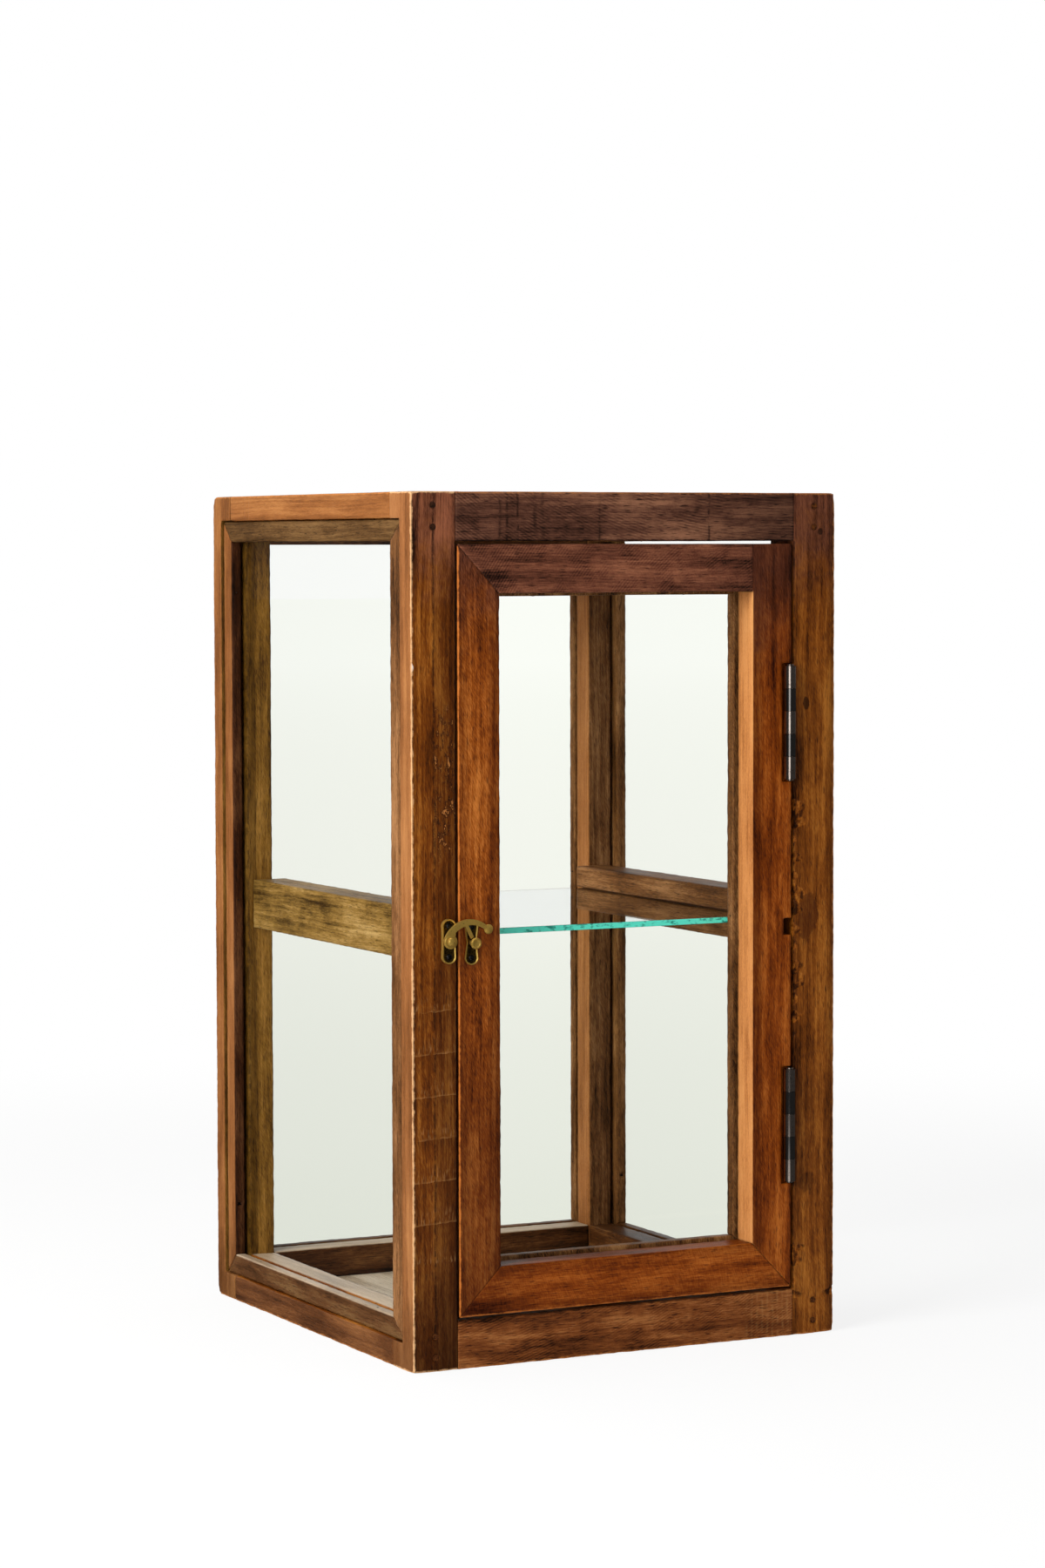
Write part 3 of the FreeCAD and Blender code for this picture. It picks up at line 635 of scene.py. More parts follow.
def grow(wood, grain, seed, flecks):
    """Give a wood its level, its relief and its roughness."""
    laid = wood.stretched((1, 1, 1), turn=GRAIN_TURNS[grain])
    wood.moved = wood.vector("ADD", laid, (seed * 1.37, seed * 0.71, seed * 2.3))
    bend = wood.add("TexNoise", wood.stretched((1, 1, 0.3), place=wood.moved), None, 16.0, 2.0, out="Color")
    bent = wood.vector("MULTIPLY_ADD", bend, BENDING, wood.moved)
    heart = (seed * 1.37 + 0.05, seed * 0.71 - 0.03, 0)
    radius = wood.vector("DISTANCE", wood.stretched((1, 1, 0.0), place=bent), heart, out="Value")
    rings = wood.add("TexNoise", None, radius, 420.0, 3.0, 0.6, noise_dimensions="1D")
    fibres = wood.pulled(bent, 0.03, 900.0, 4.0, 0.65)
    threads = wood.pulled(bent, 0.08, 2400.0, 2.0, 0.6)
    wood.mottle = wood.pulled(wood.moved, 0.4, 130.0, 4.0, 0.6)
    streaks = wood.pulled(wood.moved, 0.1, 110.0, 3.0, 0.55)
    blotches = wood.pulled(wood.moved, 0.3, 36.0, 3.0, 0.55)
    swayed = wood.vector("MULTIPLY_ADD", bend, SWAYING, wood.place)
    leaning = wood.stretched((1, 1, 1), turn=(0, FLECK_LEAN, 0), place=swayed)
    slant = wood.noise(1500.0, 2.0, 0.6, wood.stretched((1, 1, 0.15), shift=(seed, 0, 0), place=leaning))
    wood.pores = wood.band(wood.pulled(wood.moved, 0.09, 1300.0, 1.0), 0.6, 0.7)

    parts = [(rings, 0.14), (fibres, 0.22), (threads, 0.2), (wood.mottle, 0.1), (streaks, 0.26),
             (blotches, 0.32), (slant, flecks)]
    mean = 0.5 * sum(weight for _, weight in parts)
    wood.level = wood.add("MapRange", wood.share(*parts), mean - HALF_RANGE, mean + HALF_RANGE, 0.0, 1.0)
    wood.relief = wood.share((fibres, 0.4), (threads, 0.3), (wood.pores, -0.6), (slant, 0.3),
                             (wood.mottle, 0.4))
    wood.rough = wood.add("MapRange", wood.share((blotches, 0.6), (fibres, 0.4)), 0.3, 0.7, 0.36, 0.56)


print("grain runs along", ", ".join(GRAIN_TURNS))

# %% [markdown]
# ## Old wood: shade, lines and spots
# Old boards are darker in places, crossed by saw lines and dotted with holes and paint. Some dark bands
# beside the door's gap are painted shade. Each mark is placed in millimetres, and noise makes it wander or
# break up, because no old mark is straight.

# %% Helpers for marks
SPANS = {"X": (-0.17, 0.17), "Y": (-0.18, 0.18), "Z": (0.0, 0.6)}
SHADE_WANDER, LINE_WANDER = 3 * MM, 2 * MM


def paint(wood, share, strength, colour):
    """Cover a wood by a share at each point, times a strength overall."""
    wood.colour = wood.blend(wood.times(share, strength), wood.colour, colour)


def carve(wood, share, depth):
    wood.relief = wood.plus(share, depth, wood.relief)


def shaded(wood, axis, marks, wander=SHADE_WANDER):
    """A share along one axis: (place in mm, share) marks with even slopes between them."""
    low, high = SPANS[axis]
    at = wood.plus(wood.noise(60.0, 3.0), wander, wood.along(axis))
    at = wood.add("MapRange", at, low + wander / 2, high + wander / 2, 0.0, 1.0)
    stops = [((spot * MM - low) / (high - low), (share, share, share, 1)) for spot, share in marks]
    return wood.ramp(at, stops)


def scars(wood, axis, spots, width):
    """Broken lines across one axis at the given places in mm."""
    marks = [(spot + side * width, 1 - abs(side)) for spot in sorted(spots) for side in (-1, 0, 1)]
    broken = wood.band(wood.noise(170.0, 4.0, 0.7), 0.38, 0.58)
    return wood.times(shaded(wood, axis, marks, LINE_WANDER), broken)


def dab(wood, x, z, half_width, half_height):
    """A ragged spot on the front, in mm."""
    away = wood.vector("SUBTRACT", wood.place, (x * MM, FRONT, z * MM))
    spread = tuple(1 / (half * MM) for half in (half_width, 1.2 * half_width, half_height))
    reach = wood.vector("LENGTH", wood.vector("MULTIPLY", away, spread), out="Value")
    ragged = wood.plus(wood.noise(180.0, 4.0, 0.65), 1.2, reach)
    return wood.rest(wood.band(ragged, 1.45, 1.65))


print("marks are placed along", ", ".join(SPANS))

# %% [markdown]
# ## Old wood: stain, pits and saw cuts
# A dark stain hangs down from the top. A round saw left arcs on the rails and rows of ticks on the left
# post, which also has a pitted patch with pale specks. Each mark paints the wood and carves its relief.

# %% Stain, pit and saw the wood
# the first colour is a near-black for soot, dark lines and holes, and for the painted shade in the door's gap
SOOT_AND_SHADE, CHALK, HONEY = tone(14, 9, 7), tone(190, 138, 84), tone(190, 120, 62)
STAIN_DARK, PIT_DARK = tone(30, 16, 11), tone(24, 13, 6)
STAIN_COVER, PIT_COVER, SPECK_COVER, UNDER_CUT_COVER, CUT_COVER = 0.88, 0.7, 0.8, 0.16, 0.42
STAIN_WANDER = 0.1
PIT_FADE, PIT_SIDE_FADE = 30 * MM, 2 * MM
CUT_TILT, CUT_WANDER = -0.05, 2 * MM


def saw_arcs(wood, centre, spacing, strength):
    """Cuts of a round saw, in arcs about a far centre, in mm."""
    reach = wood.vector("DISTANCE", wood.place, tuple(part * MM for part in centre), out="Value")
    half = spacing * MM / 2
    patchy = wood.band(wood.noise(48.0, 3.0), 0.42, 0.6)
    cut = wood.times(wood.band(wood.math("PINGPONG", reach, half), 0.0, half), patchy)
    wood.level = wood.plus(cut, -strength, wood.level)
    carve(wood, cut, -0.5)


def stained(wood, start, full, stain_colour):
    """A dark stain that begins at one height and is full at another, in metres."""
    patchy = wood.plus(wood.noise(55.0, 5.0, 0.7), STAIN_WANDER, wood.along("Z"))
    cover = wood.band(patchy, start + STAIN_WANDER / 2, full + STAIN_WANDER / 2)
    deep = wood.blend(wood.band(wood.level, 0.0, 1.0), STAIN_DARK, stain_colour)
    paint(wood, cover, STAIN_COVER, deep)


def pitted(wood, low, high, from_x):
    """Hollows and specks between two heights, to the right of a place, in mm."""
    height = wood.along("Z")
    low, high, from_x = low * MM, high * MM, from_x * MM
    span = wood.rest(wood.band(height, high - PIT_FADE, high))
    span = wood.times(wood.band(height, low, low + PIT_FADE), span)
    span = wood.times(span, wood.band(wood.along("X"), from_x, from_x + PIT_SIDE_FADE))
    grit = wood.pulled(wood.moved, 0.5, 330.0, 4.0, 0.7)
    hollow = wood.times(wood.band(grit, 0.5, 0.58), span)
    speck = wood.times(wood.band(grit, 0.6, 0.65), span)
    paint(wood, hollow, PIT_COVER, PIT_DARK)
    paint(wood, speck, SPECK_COVER, HONEY)
    carve(wood, hollow, -1.0)


def sawn(wood, lowest, spacing, last):
    """Rows of ticks that a saw left between two heights, in mm: each row starts sharp and fades upwards."""
    height = wood.along("Z")
    lowest, spacing, last = lowest * MM, spacing * MM, last * MM
    tilted = wood.plus(wood.along("X"), CUT_TILT, height)
    wandering = wood.plus(wood.noise(260.0, 3.0), CUT_WANDER, tilted)
    phase = wood.math("FRACT", wood.math("DIVIDE", wood.math("SUBTRACT", wandering, lowest), spacing))
    ticks = wood.band(wood.pulled(wood.moved, 0.14, 800.0, 2.0, 0.6), 0.5, 0.66)
    fading = wood.rest(wood.band(phase, 0.02, 0.5))
    line = wood.rest(wood.band(phase, 0.0, 0.06))
    reached = wood.math("SUBTRACT", wood.band(height, lowest - 7 * MM, lowest - 5 * MM),
                        wood.band(height, last, last + 20 * MM))
    paint(wood, wood.times(wood.band(phase, 0.6, 0.98), reached), UNDER_CUT_COVER, wood.dark)
    scratched = wood.math("MAXIMUM", wood.times(ticks, fading), wood.times(line, 0.6))
    patchy = wood.band(wood.noise(110.0, 3.0), 0.34, 0.56)
    scratched = wood.times(wood.times(scratched, reached), patchy)
    paint(wood, scratched, CUT_COVER, CHALK)
    carve(wood, scratched, 0.8)


print("saw cuts lean by", CUT_TILT)

# %% [markdown]
# ## Old wood: age
# Age lies over everything else: bleached faces, dust, bare wood on rubbed edges and splinters in the chips.
# Painted shade darkens the edges by the door's gap, and pale upright faces grow darker towards the foot. All
# this reads the measures that each stick carries. A recipe is a palette with the marks it names, so one
# function mixes them all.

# %% Age and mix the wood
DUSTED = (tone(140, 116, 90), tone(196, 172, 144), tone(224, 206, 182))
PALE_COVER, FOOT_COVER, DUST_COVER = 0.9, 0.45, 0.85
RUB_COVER, SOOT_COVER, SPLINTER_COVER = 0.75, 0.9, 0.8
FOOT_START, FOOT_END = 30 * MM, 90 * MM
BUMP_STRENGTH, BUMP_HEIGHT = 0.4, 0.6 * MM
FINISHES = {}


def faded(wood, colours):
    return wood.ramp(wood.level, list(zip((0.0, 0.5, 1.0), colours)))


def aged(wood, grain, palette, chipped):
    """Bleach, dust and rub a wood, and paint shade by the door's gap, where its stick says so."""
    side = wood.painted("pale")
    paint(wood, side, PALE_COVER, faded(wood, palette["bleached"]))
    if grain == "z":
        foot = wood.rest(wood.band(wood.plus(wood.mottle, 0.05, wood.along("Z")), FOOT_START, FOOT_END))
        paint(wood, wood.times(foot, side), FOOT_COVER, wood.dark)
    paint(wood, wood.painted("dusty"), DUST_COVER, faded(wood, DUSTED))
    ragged = wood.plus(wood.noise(190.0, 4.0, 0.65), 1.4, -0.7)
    worn, gap_shade = wood.painted("rubbed"), wood.painted("painted_gap_shade")
    bare = wood.band(wood.plus(ragged, wood.band(worn, 0.0, 0.35), worn), 0.34, 0.84)
    paint(wood, bare, RUB_COVER, palette["rub"])
    # painted shade: the edges by the door's gap are darkened near-black, as shadow in the gap
    shaded_gap = wood.band(wood.plus(ragged, wood.band(gap_shade, 0.0, 0.3), gap_shade), 0.25, 0.8)
    paint(wood, shaded_gap, SOOT_COVER, SOOT_AND_SHADE)
    if chipped:
        broken = wood.band(wood.painted("chipped"), 0.05, 0.3)
        splinters = [(0.32, SOOT_AND_SHADE), (0.44, wood.dark), (0.54, palette["middle"]), (0.68, palette["light"])]
        grit = wood.pulled(wood.place, 0.5, 240.0, 5.0, 0.7)
        paint(wood, broken, SPLINTER_COVER, wood.ramp(grit, splinters))


def timber(name, grain, seed, palette, flecks=None, arcs=None, shades=(), stain=None, pits=None,
           saw_bands=None, lines=(), dabs=(), cracks=0.6, chipped=False, gloss=0.14):
    """A finish for sticks whose grain runs along one axis."""
    wood = Finish(name)
    wood.dark = palette["dark"]
    grow(wood, grain, seed, FLECKS[grain] if flecks is None else flecks)
    if arcs:
        saw_arcs(wood, *arcs)
    stops = [(0.05, wood.dark), (0.5, palette["middle"]), (0.95, palette["light"])]
    wood.colour = wood.ramp(wood.level, stops)
    paint(wood, wood.pores, cracks, wood.dark)
    for axis, marks in shades:
        wood.colour = wood.blend(shaded(wood, axis, marks), wood.colour, wood.dark)
    for tool, marks in ((stained, stain), (pitted, pits), (sawn, saw_bands)):
        if marks:
            tool(wood, *marks)
    for axis, spots, width, line_colour, strength in lines:
        line = scars(wood, axis, spots, width)
        paint(wood, line, strength, line_colour)
        carve(wood, line, -0.8)
    for x, z, half_width, half_height, spot_colour, strength in dabs:
        paint(wood, dab(wood, x, z, half_width, half_height), strength, spot_colour)
    aged(wood, grain, palette, chipped)
    bump = wood.add("Bump", BUMP_STRENGTH, BUMP_HEIGHT, None, wood.relief, out="Normal")
    wood.set(Base_Color=wood.colour, Roughness=wood.rough, Normal=bump, Specular_IOR_Level=gloss)
    return wood.material


def mix(recipes):
    """Make a finish of each recipe: grain, seed, palette and marks."""
    for name, (grain, seed, palette, marks) in recipes.items():
        FINISHES[name] = timber("wood_" + name, grain, seed, palette, **marks)
    print("finishes:", ", ".join(recipes))


print("wood can be mixed")

# %% [markdown]
# ## Palettes
# The boards came from several trees, so no two sticks have quite the same colour. A palette holds the dark,
# middle and light of the grain, the bare wood of rubbed edges and the tones of bleached faces.

# %% Choose the palettes
EMBER = tone(206, 118, 52)
BUFF = tone(150, 100, 58)
NIGHT, PLUM, ROSY = tone(118, 70, 54), tone(90, 50, 37), tone(150, 90, 65)
TAN = (tone(96, 56, 28), tone(143, 90, 50), tone(174, 118, 70))
MILD_TAN = (tone(100, 60, 31), tone(146, 93, 53), tone(176, 120, 73))
BRIGHT_TAN = (tone(112, 66, 34), tone(162, 104, 58), tone(192, 132, 80))
DULL_TAN = (tone(62, 36, 18), tone(100, 62, 35), tone(134, 88, 52))
FRESH = (tone(148, 86, 42), tone(204, 134, 76), tone(224, 160, 98))


def swatch(dark, middle, light, rub=HONEY, bleached=TAN):
    return dict(dark=tone(*dark), middle=tone(*middle), light=tone(*light), rub=rub, bleached=bleached)


WARM = swatch((50, 18, 2), (142, 71, 20), (198, 118, 52), EMBER, FRESH)
RUSSET = swatch((46, 16, 2), (136, 64, 13), (192, 108, 42), EMBER, FRESH)
OLIVE = swatch((38, 17, 2), (119, 62, 14), (180, 112, 44))
DUSKY = swatch((26, 16, 12), (98, 63, 49), (152, 104, 78), tone(170, 106, 60))
PLUMMY = dict(DUSKY, middle=tone(110, 65, 48), light=tone(160, 102, 74))
UMBER = swatch((30, 14, 5), (124, 69, 33), (176, 114, 64))
SHADY = swatch((18, 10, 5), (76, 46, 25), (124, 84, 48), tone(140, 92, 52))
# this palette is darker than the other beads to copy the shade on the rear left bead's inner face: painted
# shade
SHADED_BEAD_DARK = swatch((16, 9, 5), (56, 32, 18), (96, 62, 38), tone(96, 60, 34))
WALNUT = swatch((34, 20, 10), (112, 73, 42), (166, 118, 76), BUFF)
MOSS = swatch((34, 24, 10), (88, 62, 36), (126, 94, 58), BUFF)
KHAKI = swatch((56, 38, 14), (134, 101, 50), (176, 142, 88), tone(176, 140, 92))
GOLDEN = swatch((40, 24, 6), (124, 86, 34), (168, 122, 58))
DUSTY = swatch((156, 134, 108), (216, 196, 170), (236, 220, 198))
print("a palette holds:", ", ".join(WARM))

# %% [markdown]
# ## The case
# The left front post has a groove near each edge, saw ticks, pits and a drop of paint. The right one has
# chips, a stain and dark holes. The front rails carry the arcs of a round saw, and the sticks at the back
# are plain.

# %% Mix the finishes of the case
mix({
    "post_front_left": ("z", 1, dict(OLIVE, rub=tone(232, 180, 128), bleached=MILD_TAN), dict(
        stain=(0.49, 0.56, ROSY), flecks=0.12, pits=(320, 445, -143), saw_bands=(77, 27.6, 245),
        # the darkening that rises towards the door's gap, from -133 mm on, is partly painted shade
        shades=[("X", [(-158, 0.3), (-155, 0.0), (-143.5, 0.0), (-141.5, 0.3), (-133, 0.4), (-127, 0.5)]),
                ("Z", [(0, 0.75), (45, 0.6), (80, 0.3), (130, 0.12), (300, 0.05), (470, 0.0), (545, 0.15)])],
        lines=[("X", [-156.4, -142.2], 0.7, SOOT_AND_SHADE, 0.85), ("Z", [259], 0.8, SOOT_AND_SHADE, 0.8)],
        dabs=[(-158.2, 457, 1.8, 3.2, tone(226, 216, 206), 0.95)])),
    "post_front_right": ("z", 2, dict(OLIVE, middle=tone(127, 69, 21)), dict(
        stain=(0.485, 0.56, NIGHT), flecks=0.14, chipped=True,
        # the dark band at the left edge, by the door's gap and the hinges, is painted shade
        shades=[("X", [(126, 0.35), (131, 0.1), (136, 0.0), (150, 0.0), (157, 0.45)])],
        dabs=[(137, 285, 8.5, 17, tone(66, 32, 14), 0.6), (136, 429, 2.4, 4.5, SOOT_AND_SHADE, 0.7),
              (147, 544, 2.0, 2.4, SOOT_AND_SHADE, 0.7), (137, 104, 7.0, 7.0, SOOT_AND_SHADE, 0.35)])),
    "post_rear_left": ("z", 3, GOLDEN, dict(
        shades=[("X", [(-146, 0.5), (-139.5, 0.45), (-138, 0.0)])],
        lines=[("X", [-144.6], 0.7, SOOT_AND_SHADE, 0.9)])),
    "post_rear_right": ("z", 20, dict(WALNUT, bleached=BRIGHT_TAN), dict(
        shades=[("X", [(127, 0.1), (130, 0.2), (141, 0.2), (144, 0.0)])],
        lines=[("X", [144.3], 0.8, SOOT_AND_SHADE, 0.95)])),
    "rail_top_front": ("x", 4, DUSKY, dict(
        arcs=((120, -163, 900), 1.9, 0.22), cracks=0.85,
        shades=[("X", [(-126, 0.05), (-105, 0.0), (40, 0.1), (126, 0.45)])],
        lines=[("X", [-94, -89, -81, -68.5, -63, -21, 61], 1.3, SOOT_AND_SHADE, 0.85)])),
    "rail_bottom_front": ("x", 5, UMBER, dict(
        arcs=((-300, -163, 700), 1.7, 0.2), cracks=0.8,
        lines=[("X", [90, 94, 98, 102, 106, 110, 114, 118, 122], 0.5, CHALK, 0.4)])),
    "rail_across": ("x", 6, SHADY, {}),
    "rail_deep": ("y", 7, OLIVE, dict(gloss=0.3)),
    "rail_bottom_right": ("y", 27, SHADY, {}),
    "rail_top_left": ("y", 21, OLIVE, dict(lines=[("Y", [100, 107], 0.5, SOOT_AND_SHADE, 0.7)])),
    "rail_bottom_left": ("y", 22, dict(OLIVE, bleached=DULL_TAN), dict(gloss=0.4)),
})

# %% [markdown]
# ## The door
# The door is the warmest wood, with slanting flecks. It is darker near the glass and under the stain at the
# top, and has one dark spot beside the hinges.

# %% Mix the finishes of the door
mix({
    "door_stile_left": ("z", 8, WARM, dict(
        stain=(0.46, 0.545, NIGHT), flecks=0.24,
        shades=[("X", [(-125, 0.35), (-121, 0.25), (-116, 0.0), (-105, 0.0), (-101, 0.3), (-95, 0.4)]),
                ("Z", [(30, 0.5), (150, 0.4), (260, 0.0)])])),
    "door_stile_right": ("z", 9, RUSSET, dict(
        stain=(0.43, 0.525, PLUM), flecks=0.18,
        shades=[("X", [(94, 0.6), (99, 0.45), (104, 0.05), (118, 0.0), (125, 0.1)])],
        dabs=[(123, 278.5, 3.4, 5.6, SOOT_AND_SHADE, 0.9)])),
    "door_rail_top": ("x", 10, PLUMMY, dict(flecks=0.1, arcs=((200, -163, 330), 1.8, 0.22))),
    "door_rail_bottom": ("x", 11, RUSSET, dict(
        flecks=0.16,
        shades=[("X", [(-126, 0.45), (-96, 0.3), (-60, 0.0)]),
                ("Z", [(33, 0.4), (40, 0.15), (48, 0.0), (58, 0.0), (66, 0.3)])])),
})

# %% [markdown]
# ## Beads, shelf rails and panels
# The thin beads are dull and mostly dark, and the rear left bead is darker still with painted shade. The
# base is grey with dust. A stick without a recipe of its own takes the one for its direction.

# %% Mix the other finishes and dress the sticks
mix({
    "bead_upright": ("z", 12, WALNUT, {}),
    "bead_across": ("x", 13, SHADY, {}),
    "bead_deep": ("y", 14, SHADY, {}),
    "door_bead": ("z", 23, WALNUT, dict(flecks=0.3)),
    # painted shade: the rear left bead is darkened to match its shaded inner face
    "left_bead_rear": ("z", 24, SHADED_BEAD_DARK, {}),
    "left_bead_top": ("y", 17, MOSS, {}),
    "left_bead_bottom": ("y", 18, dict(MOSS, middle=tone(94, 60, 34), bleached=DUSTED), dict(gloss=0.3)),
    "left_bead_front": ("z", 19, WALNUT, {}),
    "shelf_rail_left": ("y", 15, KHAKI, dict(arcs=((-140, 900, 285), 1.6, 0.25))),
    "shelf_rail_right": ("y", 25, WALNUT, {}),
    "base_panel": ("y", 16, DUSTY, dict(gloss=0.5)),
    "top_panel": ("y", 26, dict(UMBER, dark=tone(82, 46, 22), light=tone(150, 94, 52)), {}),
})


def finish_for(node):
    if node in FINISHES:
        return FINISHES[node]
    if node.startswith("door_bead"):
        return FINISHES["door_bead"]
    if "bead" in node:
        low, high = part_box(node)
        longest = max(range(3), key=lambda axis: high[axis] - low[axis])
        return FINISHES[("bead_across", "bead_deep", "bead_upright")[longest]]
    return FINISHES["rail_deep" if node.endswith(("left", "right")) else "rail_across"]


def give(finish, *nodes):
    """Give a finish to pieces of the model that stay as they are."""
    for node in nodes:
        frame["nodes"][node].data.materials[0] = finish


for node, stick in sticks.items():
    dress(stick, finish_for(node))
    slot_of(node)
for node in ("base_panel", "top_panel"):
    give(FINISHES[node], node)
print("timber finishes:", len(FINISHES))

# %% [markdown]
# ## Pegs
# Pegs lock the front rails' tenons. Their ends show on the posts as dots of end grain, which soaks up
# stain. Those at the upper left are almost black.

# %% Darken the pegs
UPPER_HALF = 0.3

peg = Finish("peg_end_grain")
speckle = peg.noise(900.0, 3.0, 0.7)
dark_peg = peg.ramp(speckle, [(0.35, tone(14, 9, 6)), (0.62, tone(66, 40, 25))])
plain_peg = peg.ramp(speckle, [(0.35, tone(44, 22, 8)), (0.62, tone(104, 58, 22))])
upper_left = peg.times(peg.math("LESS_THAN", peg.along("X"), 0.0),
                       peg.math("GREATER_THAN", peg.along("Z"), UPPER_HALF))
peg.set(Base_Color=peg.blend(upper_left, plain_peg, dark_peg), Roughness=0.6, Specular_IOR_Level=0.2)
give(peg.material, "frame_pegs", "door_dowels")
print("peg finish:", peg.material.name)

# %% [markdown]
# ## Glass
# Float glass is clear with a breath of green. A glass shader also blocks lamps, so shadow rays pass
# straight through. The panes bend light less than real glass, which keeps their mirror faint.

# %% Mix the glass finishes
PANE_BENDING, SHELF_BENDING = 1.1, 1.45


def clear_glass(name, tint, bending):
    glass = Finish(name)
    glass.set(Base_Color=tint, Roughness=0.0, IOR=bending, Transmission_Weight=1.0)
    rays = glass.new("LightPath").outputs
    through = glass.add("BsdfTransparent", tint)
    dodge = glass.math("MAXIMUM", rays["Is Shadow Ray"], rays["Is Diffuse Ray"])
    glass.surface(glass.add("MixShader", dodge, glass.shader.outputs["BSDF"], through))
    return glass.material


PANE_GLASS = clear_glass("pane_clear", (0.992, 1.0, 0.985, 1), PANE_BENDING)
SHELF_GLASS = clear_glass("shelf_clear", (0.95, 0.985, 0.97, 1), SHELF_BENDING)
give(PANE_GLASS, "pane_left", "pane_right", "pane_back", "door_pane")
print("glass finishes:", PANE_GLASS.name, SHELF_GLASS.name)

# %% [markdown]
# ## The shelf's cut edge
# The shelf is a loose sheet with ground edges. Light that runs along the sheet makes the front edge glow,
# so that edge has a finish of its own: deep teal, slightly rough, with paler chips.

# %% Cut the glass shelf
SHELF_EASE, EDGE_ON = 0.4 * MM, 0.5
FLAT_ANGLE = radians(1)

edge_glass = Finish("shelf_edge_teal")
chips = edge_glass.band(edge_glass.pulled(edge_glass.place, 2, 160.0, 4.0, 0.7), 0.34, 0.5)
edge_glass.set(Base_Color=edge_glass.blend(chips, tone(30, 140, 124), tone(100, 248, 224)), Roughness=0.3,
               Transmission_Weight=0.05, IOR=1.5)

shelf = merged_copy("shelf", "glass_shelf")
edit_all()
bpy.ops.mesh.dissolve_limited(angle_limit=FLAT_ANGLE)
bpy.ops.mesh.bevel(offset=SHELF_EASE, segments=2, affect="EDGES")
mode("OBJECT")
dress(shelf, SHELF_GLASS, edge_glass.material)
for face in shelf.data.polygons:
    face.material_index = int(face.normal.y < -EDGE_ON)
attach(shelf, "case")
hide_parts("shelf")
print("shelf faces:", len(shelf.data.polygons))

# %% [markdown]
# ## Hinges
# Steel butt hinges, once nickel plated. The case leaves are rubbed bright and the door leaves are nearly
# black, so the knuckles alternate. The copies keep the exact shape, and a small bevel breaks each edge to
# catch light.

# %% Finish the hinges
LEAF_EASE, PIN_EASE = 0.3, 0.5


def old_metal(name, bright, tarnish, share, rough, bare=1.0):
    """Metal with patches of tarnish; less than wholly bare under old lacquer."""
    metal = Finish(name)
    patches = metal.band(metal.noise(900.0, 3.0, 0.6), 0.75 - share, 1.05 - share)
    metal.set(Base_Color=metal.blend(patches, bright, tarnish), Metallic=bare,
              Roughness=metal.add("MapRange", patches, 0.0, 1.0, rough, rough + 0.14))
    return metal.material


RUBBED_NICKEL = old_metal("nickel_rubbed", tone(208, 192, 180), tone(120, 100, 86), 0.25, 0.13)
BLACK_NICKEL = old_metal("nickel_black", tone(140, 136, 132), tone(64, 58, 54), 0.2, 0.1)
SCREW_STEEL = old_metal("screw_dark", tone(84, 80, 76), tone(24, 22, 20), 0.35, 0.3)


def eased_copy(node, name, width, finish):
    """Put a copy of one piece, with every sharp edge broken, in its place."""
    piece = merged_copy(node, name)
    edit_all()
    bpy.ops.mesh.dissolve_limited(angle_limit=FLAT_ANGLE)
    mode("OBJECT")
    modify(piece, "BEVEL", width=width * MM, segments=2, limit_method="ANGLE", angle_limit=radians(40))
    bpy.ops.object.shade_smooth_by_angle(angle=radians(35))
    modify(piece, "WEIGHTED_NORMAL", weight=100, keep_sharp=True)
    dress(piece, finish)
    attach(piece, frame["nodes"][node]["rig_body"])
    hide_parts(node)


for level in ("upper", "lower"):
    for owner, finish in (("case", RUBBED_NICKEL), ("door", BLACK_NICKEL)):
        node = "hinge_%s_%s_leaf" % (level, owner)
        eased_copy(node, "leaf_%s_%s" % (level, owner), LEAF_EASE, finish)
eased_copy("hinge_pins", "pins_of_hinges", PIN_EASE, RUBBED_NICKEL)
give(SCREW_STEEL, "hinge_case_screws", "hinge_door_screws", "case_brads", "door_brads")
print("hinge leaves finished")

# %% [markdown]
# ## The swing hook
# A small box latch of brass, aged with a dark wash that stays in the hollows. Each piece starts as a plain
# disc or bar. Discs are drawn out ring by ring, as on a lathe.

# %% Helpers for the latch
FACING_FRONT = (radians(90), 0, 0)


def begin(kind, name, stretch=(1, 1, 1), **settings):
    """A fresh primitive, open for editing."""
    bpy.ops.object.select_all(action="DESELECT")
    getattr(bpy.ops.mesh, "primitive_%s_add" % kind)(**settings)
    piece = bpy.context.object
    piece.name = name
    piece.scale = stretch
    bpy.ops.object.transform_apply(location=True, rotation=True, scale=True)
    edit_all()
    return piece


def pick(piece, test):
    """Select the corners of a piece that pass a test."""
    bpy.ops.mesh.select_all(action="DESELECT")
    mode("OBJECT")
    for corner in piece.data.vertices:
        corner.select = test(corner.co)
    mode("EDIT")


def pull_out(distance):
    """Draw the selection out into a wall, along the front's direction."""
    bpy.ops.mesh.extrude_region_move(TRANSFORM_OT_translate={"value": (0, distance, 0)})


def joined(parts):
    """Make one piece of several, closed for editing."""
    bpy.ops.object.select_all(action="DESELECT")
    for part in parts:
        part.select_set(True)
    activate(parts[0])
    bpy.ops.object.join()
    return parts[0]


def done(piece, finish, body, *nodes, ease=0.0):
    """Close a piece, break its edges, and put it in place of the model's pieces."""
    bpy.ops.mesh.select_all(action="SELECT")
    bpy.ops.mesh.normals_make_consistent(inside=False)
    mode("OBJECT")
    if ease:
        modify(piece, "BEVEL", width=ease * MM, segments=2, limit_method="ANGLE", angle_limit=radians(30))
    bpy.ops.object.shade_smooth_by_angle(angle=radians(40))
    if not piece.data.materials:
        dress(piece, finish)
    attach(piece, body)
    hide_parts(*nodes)


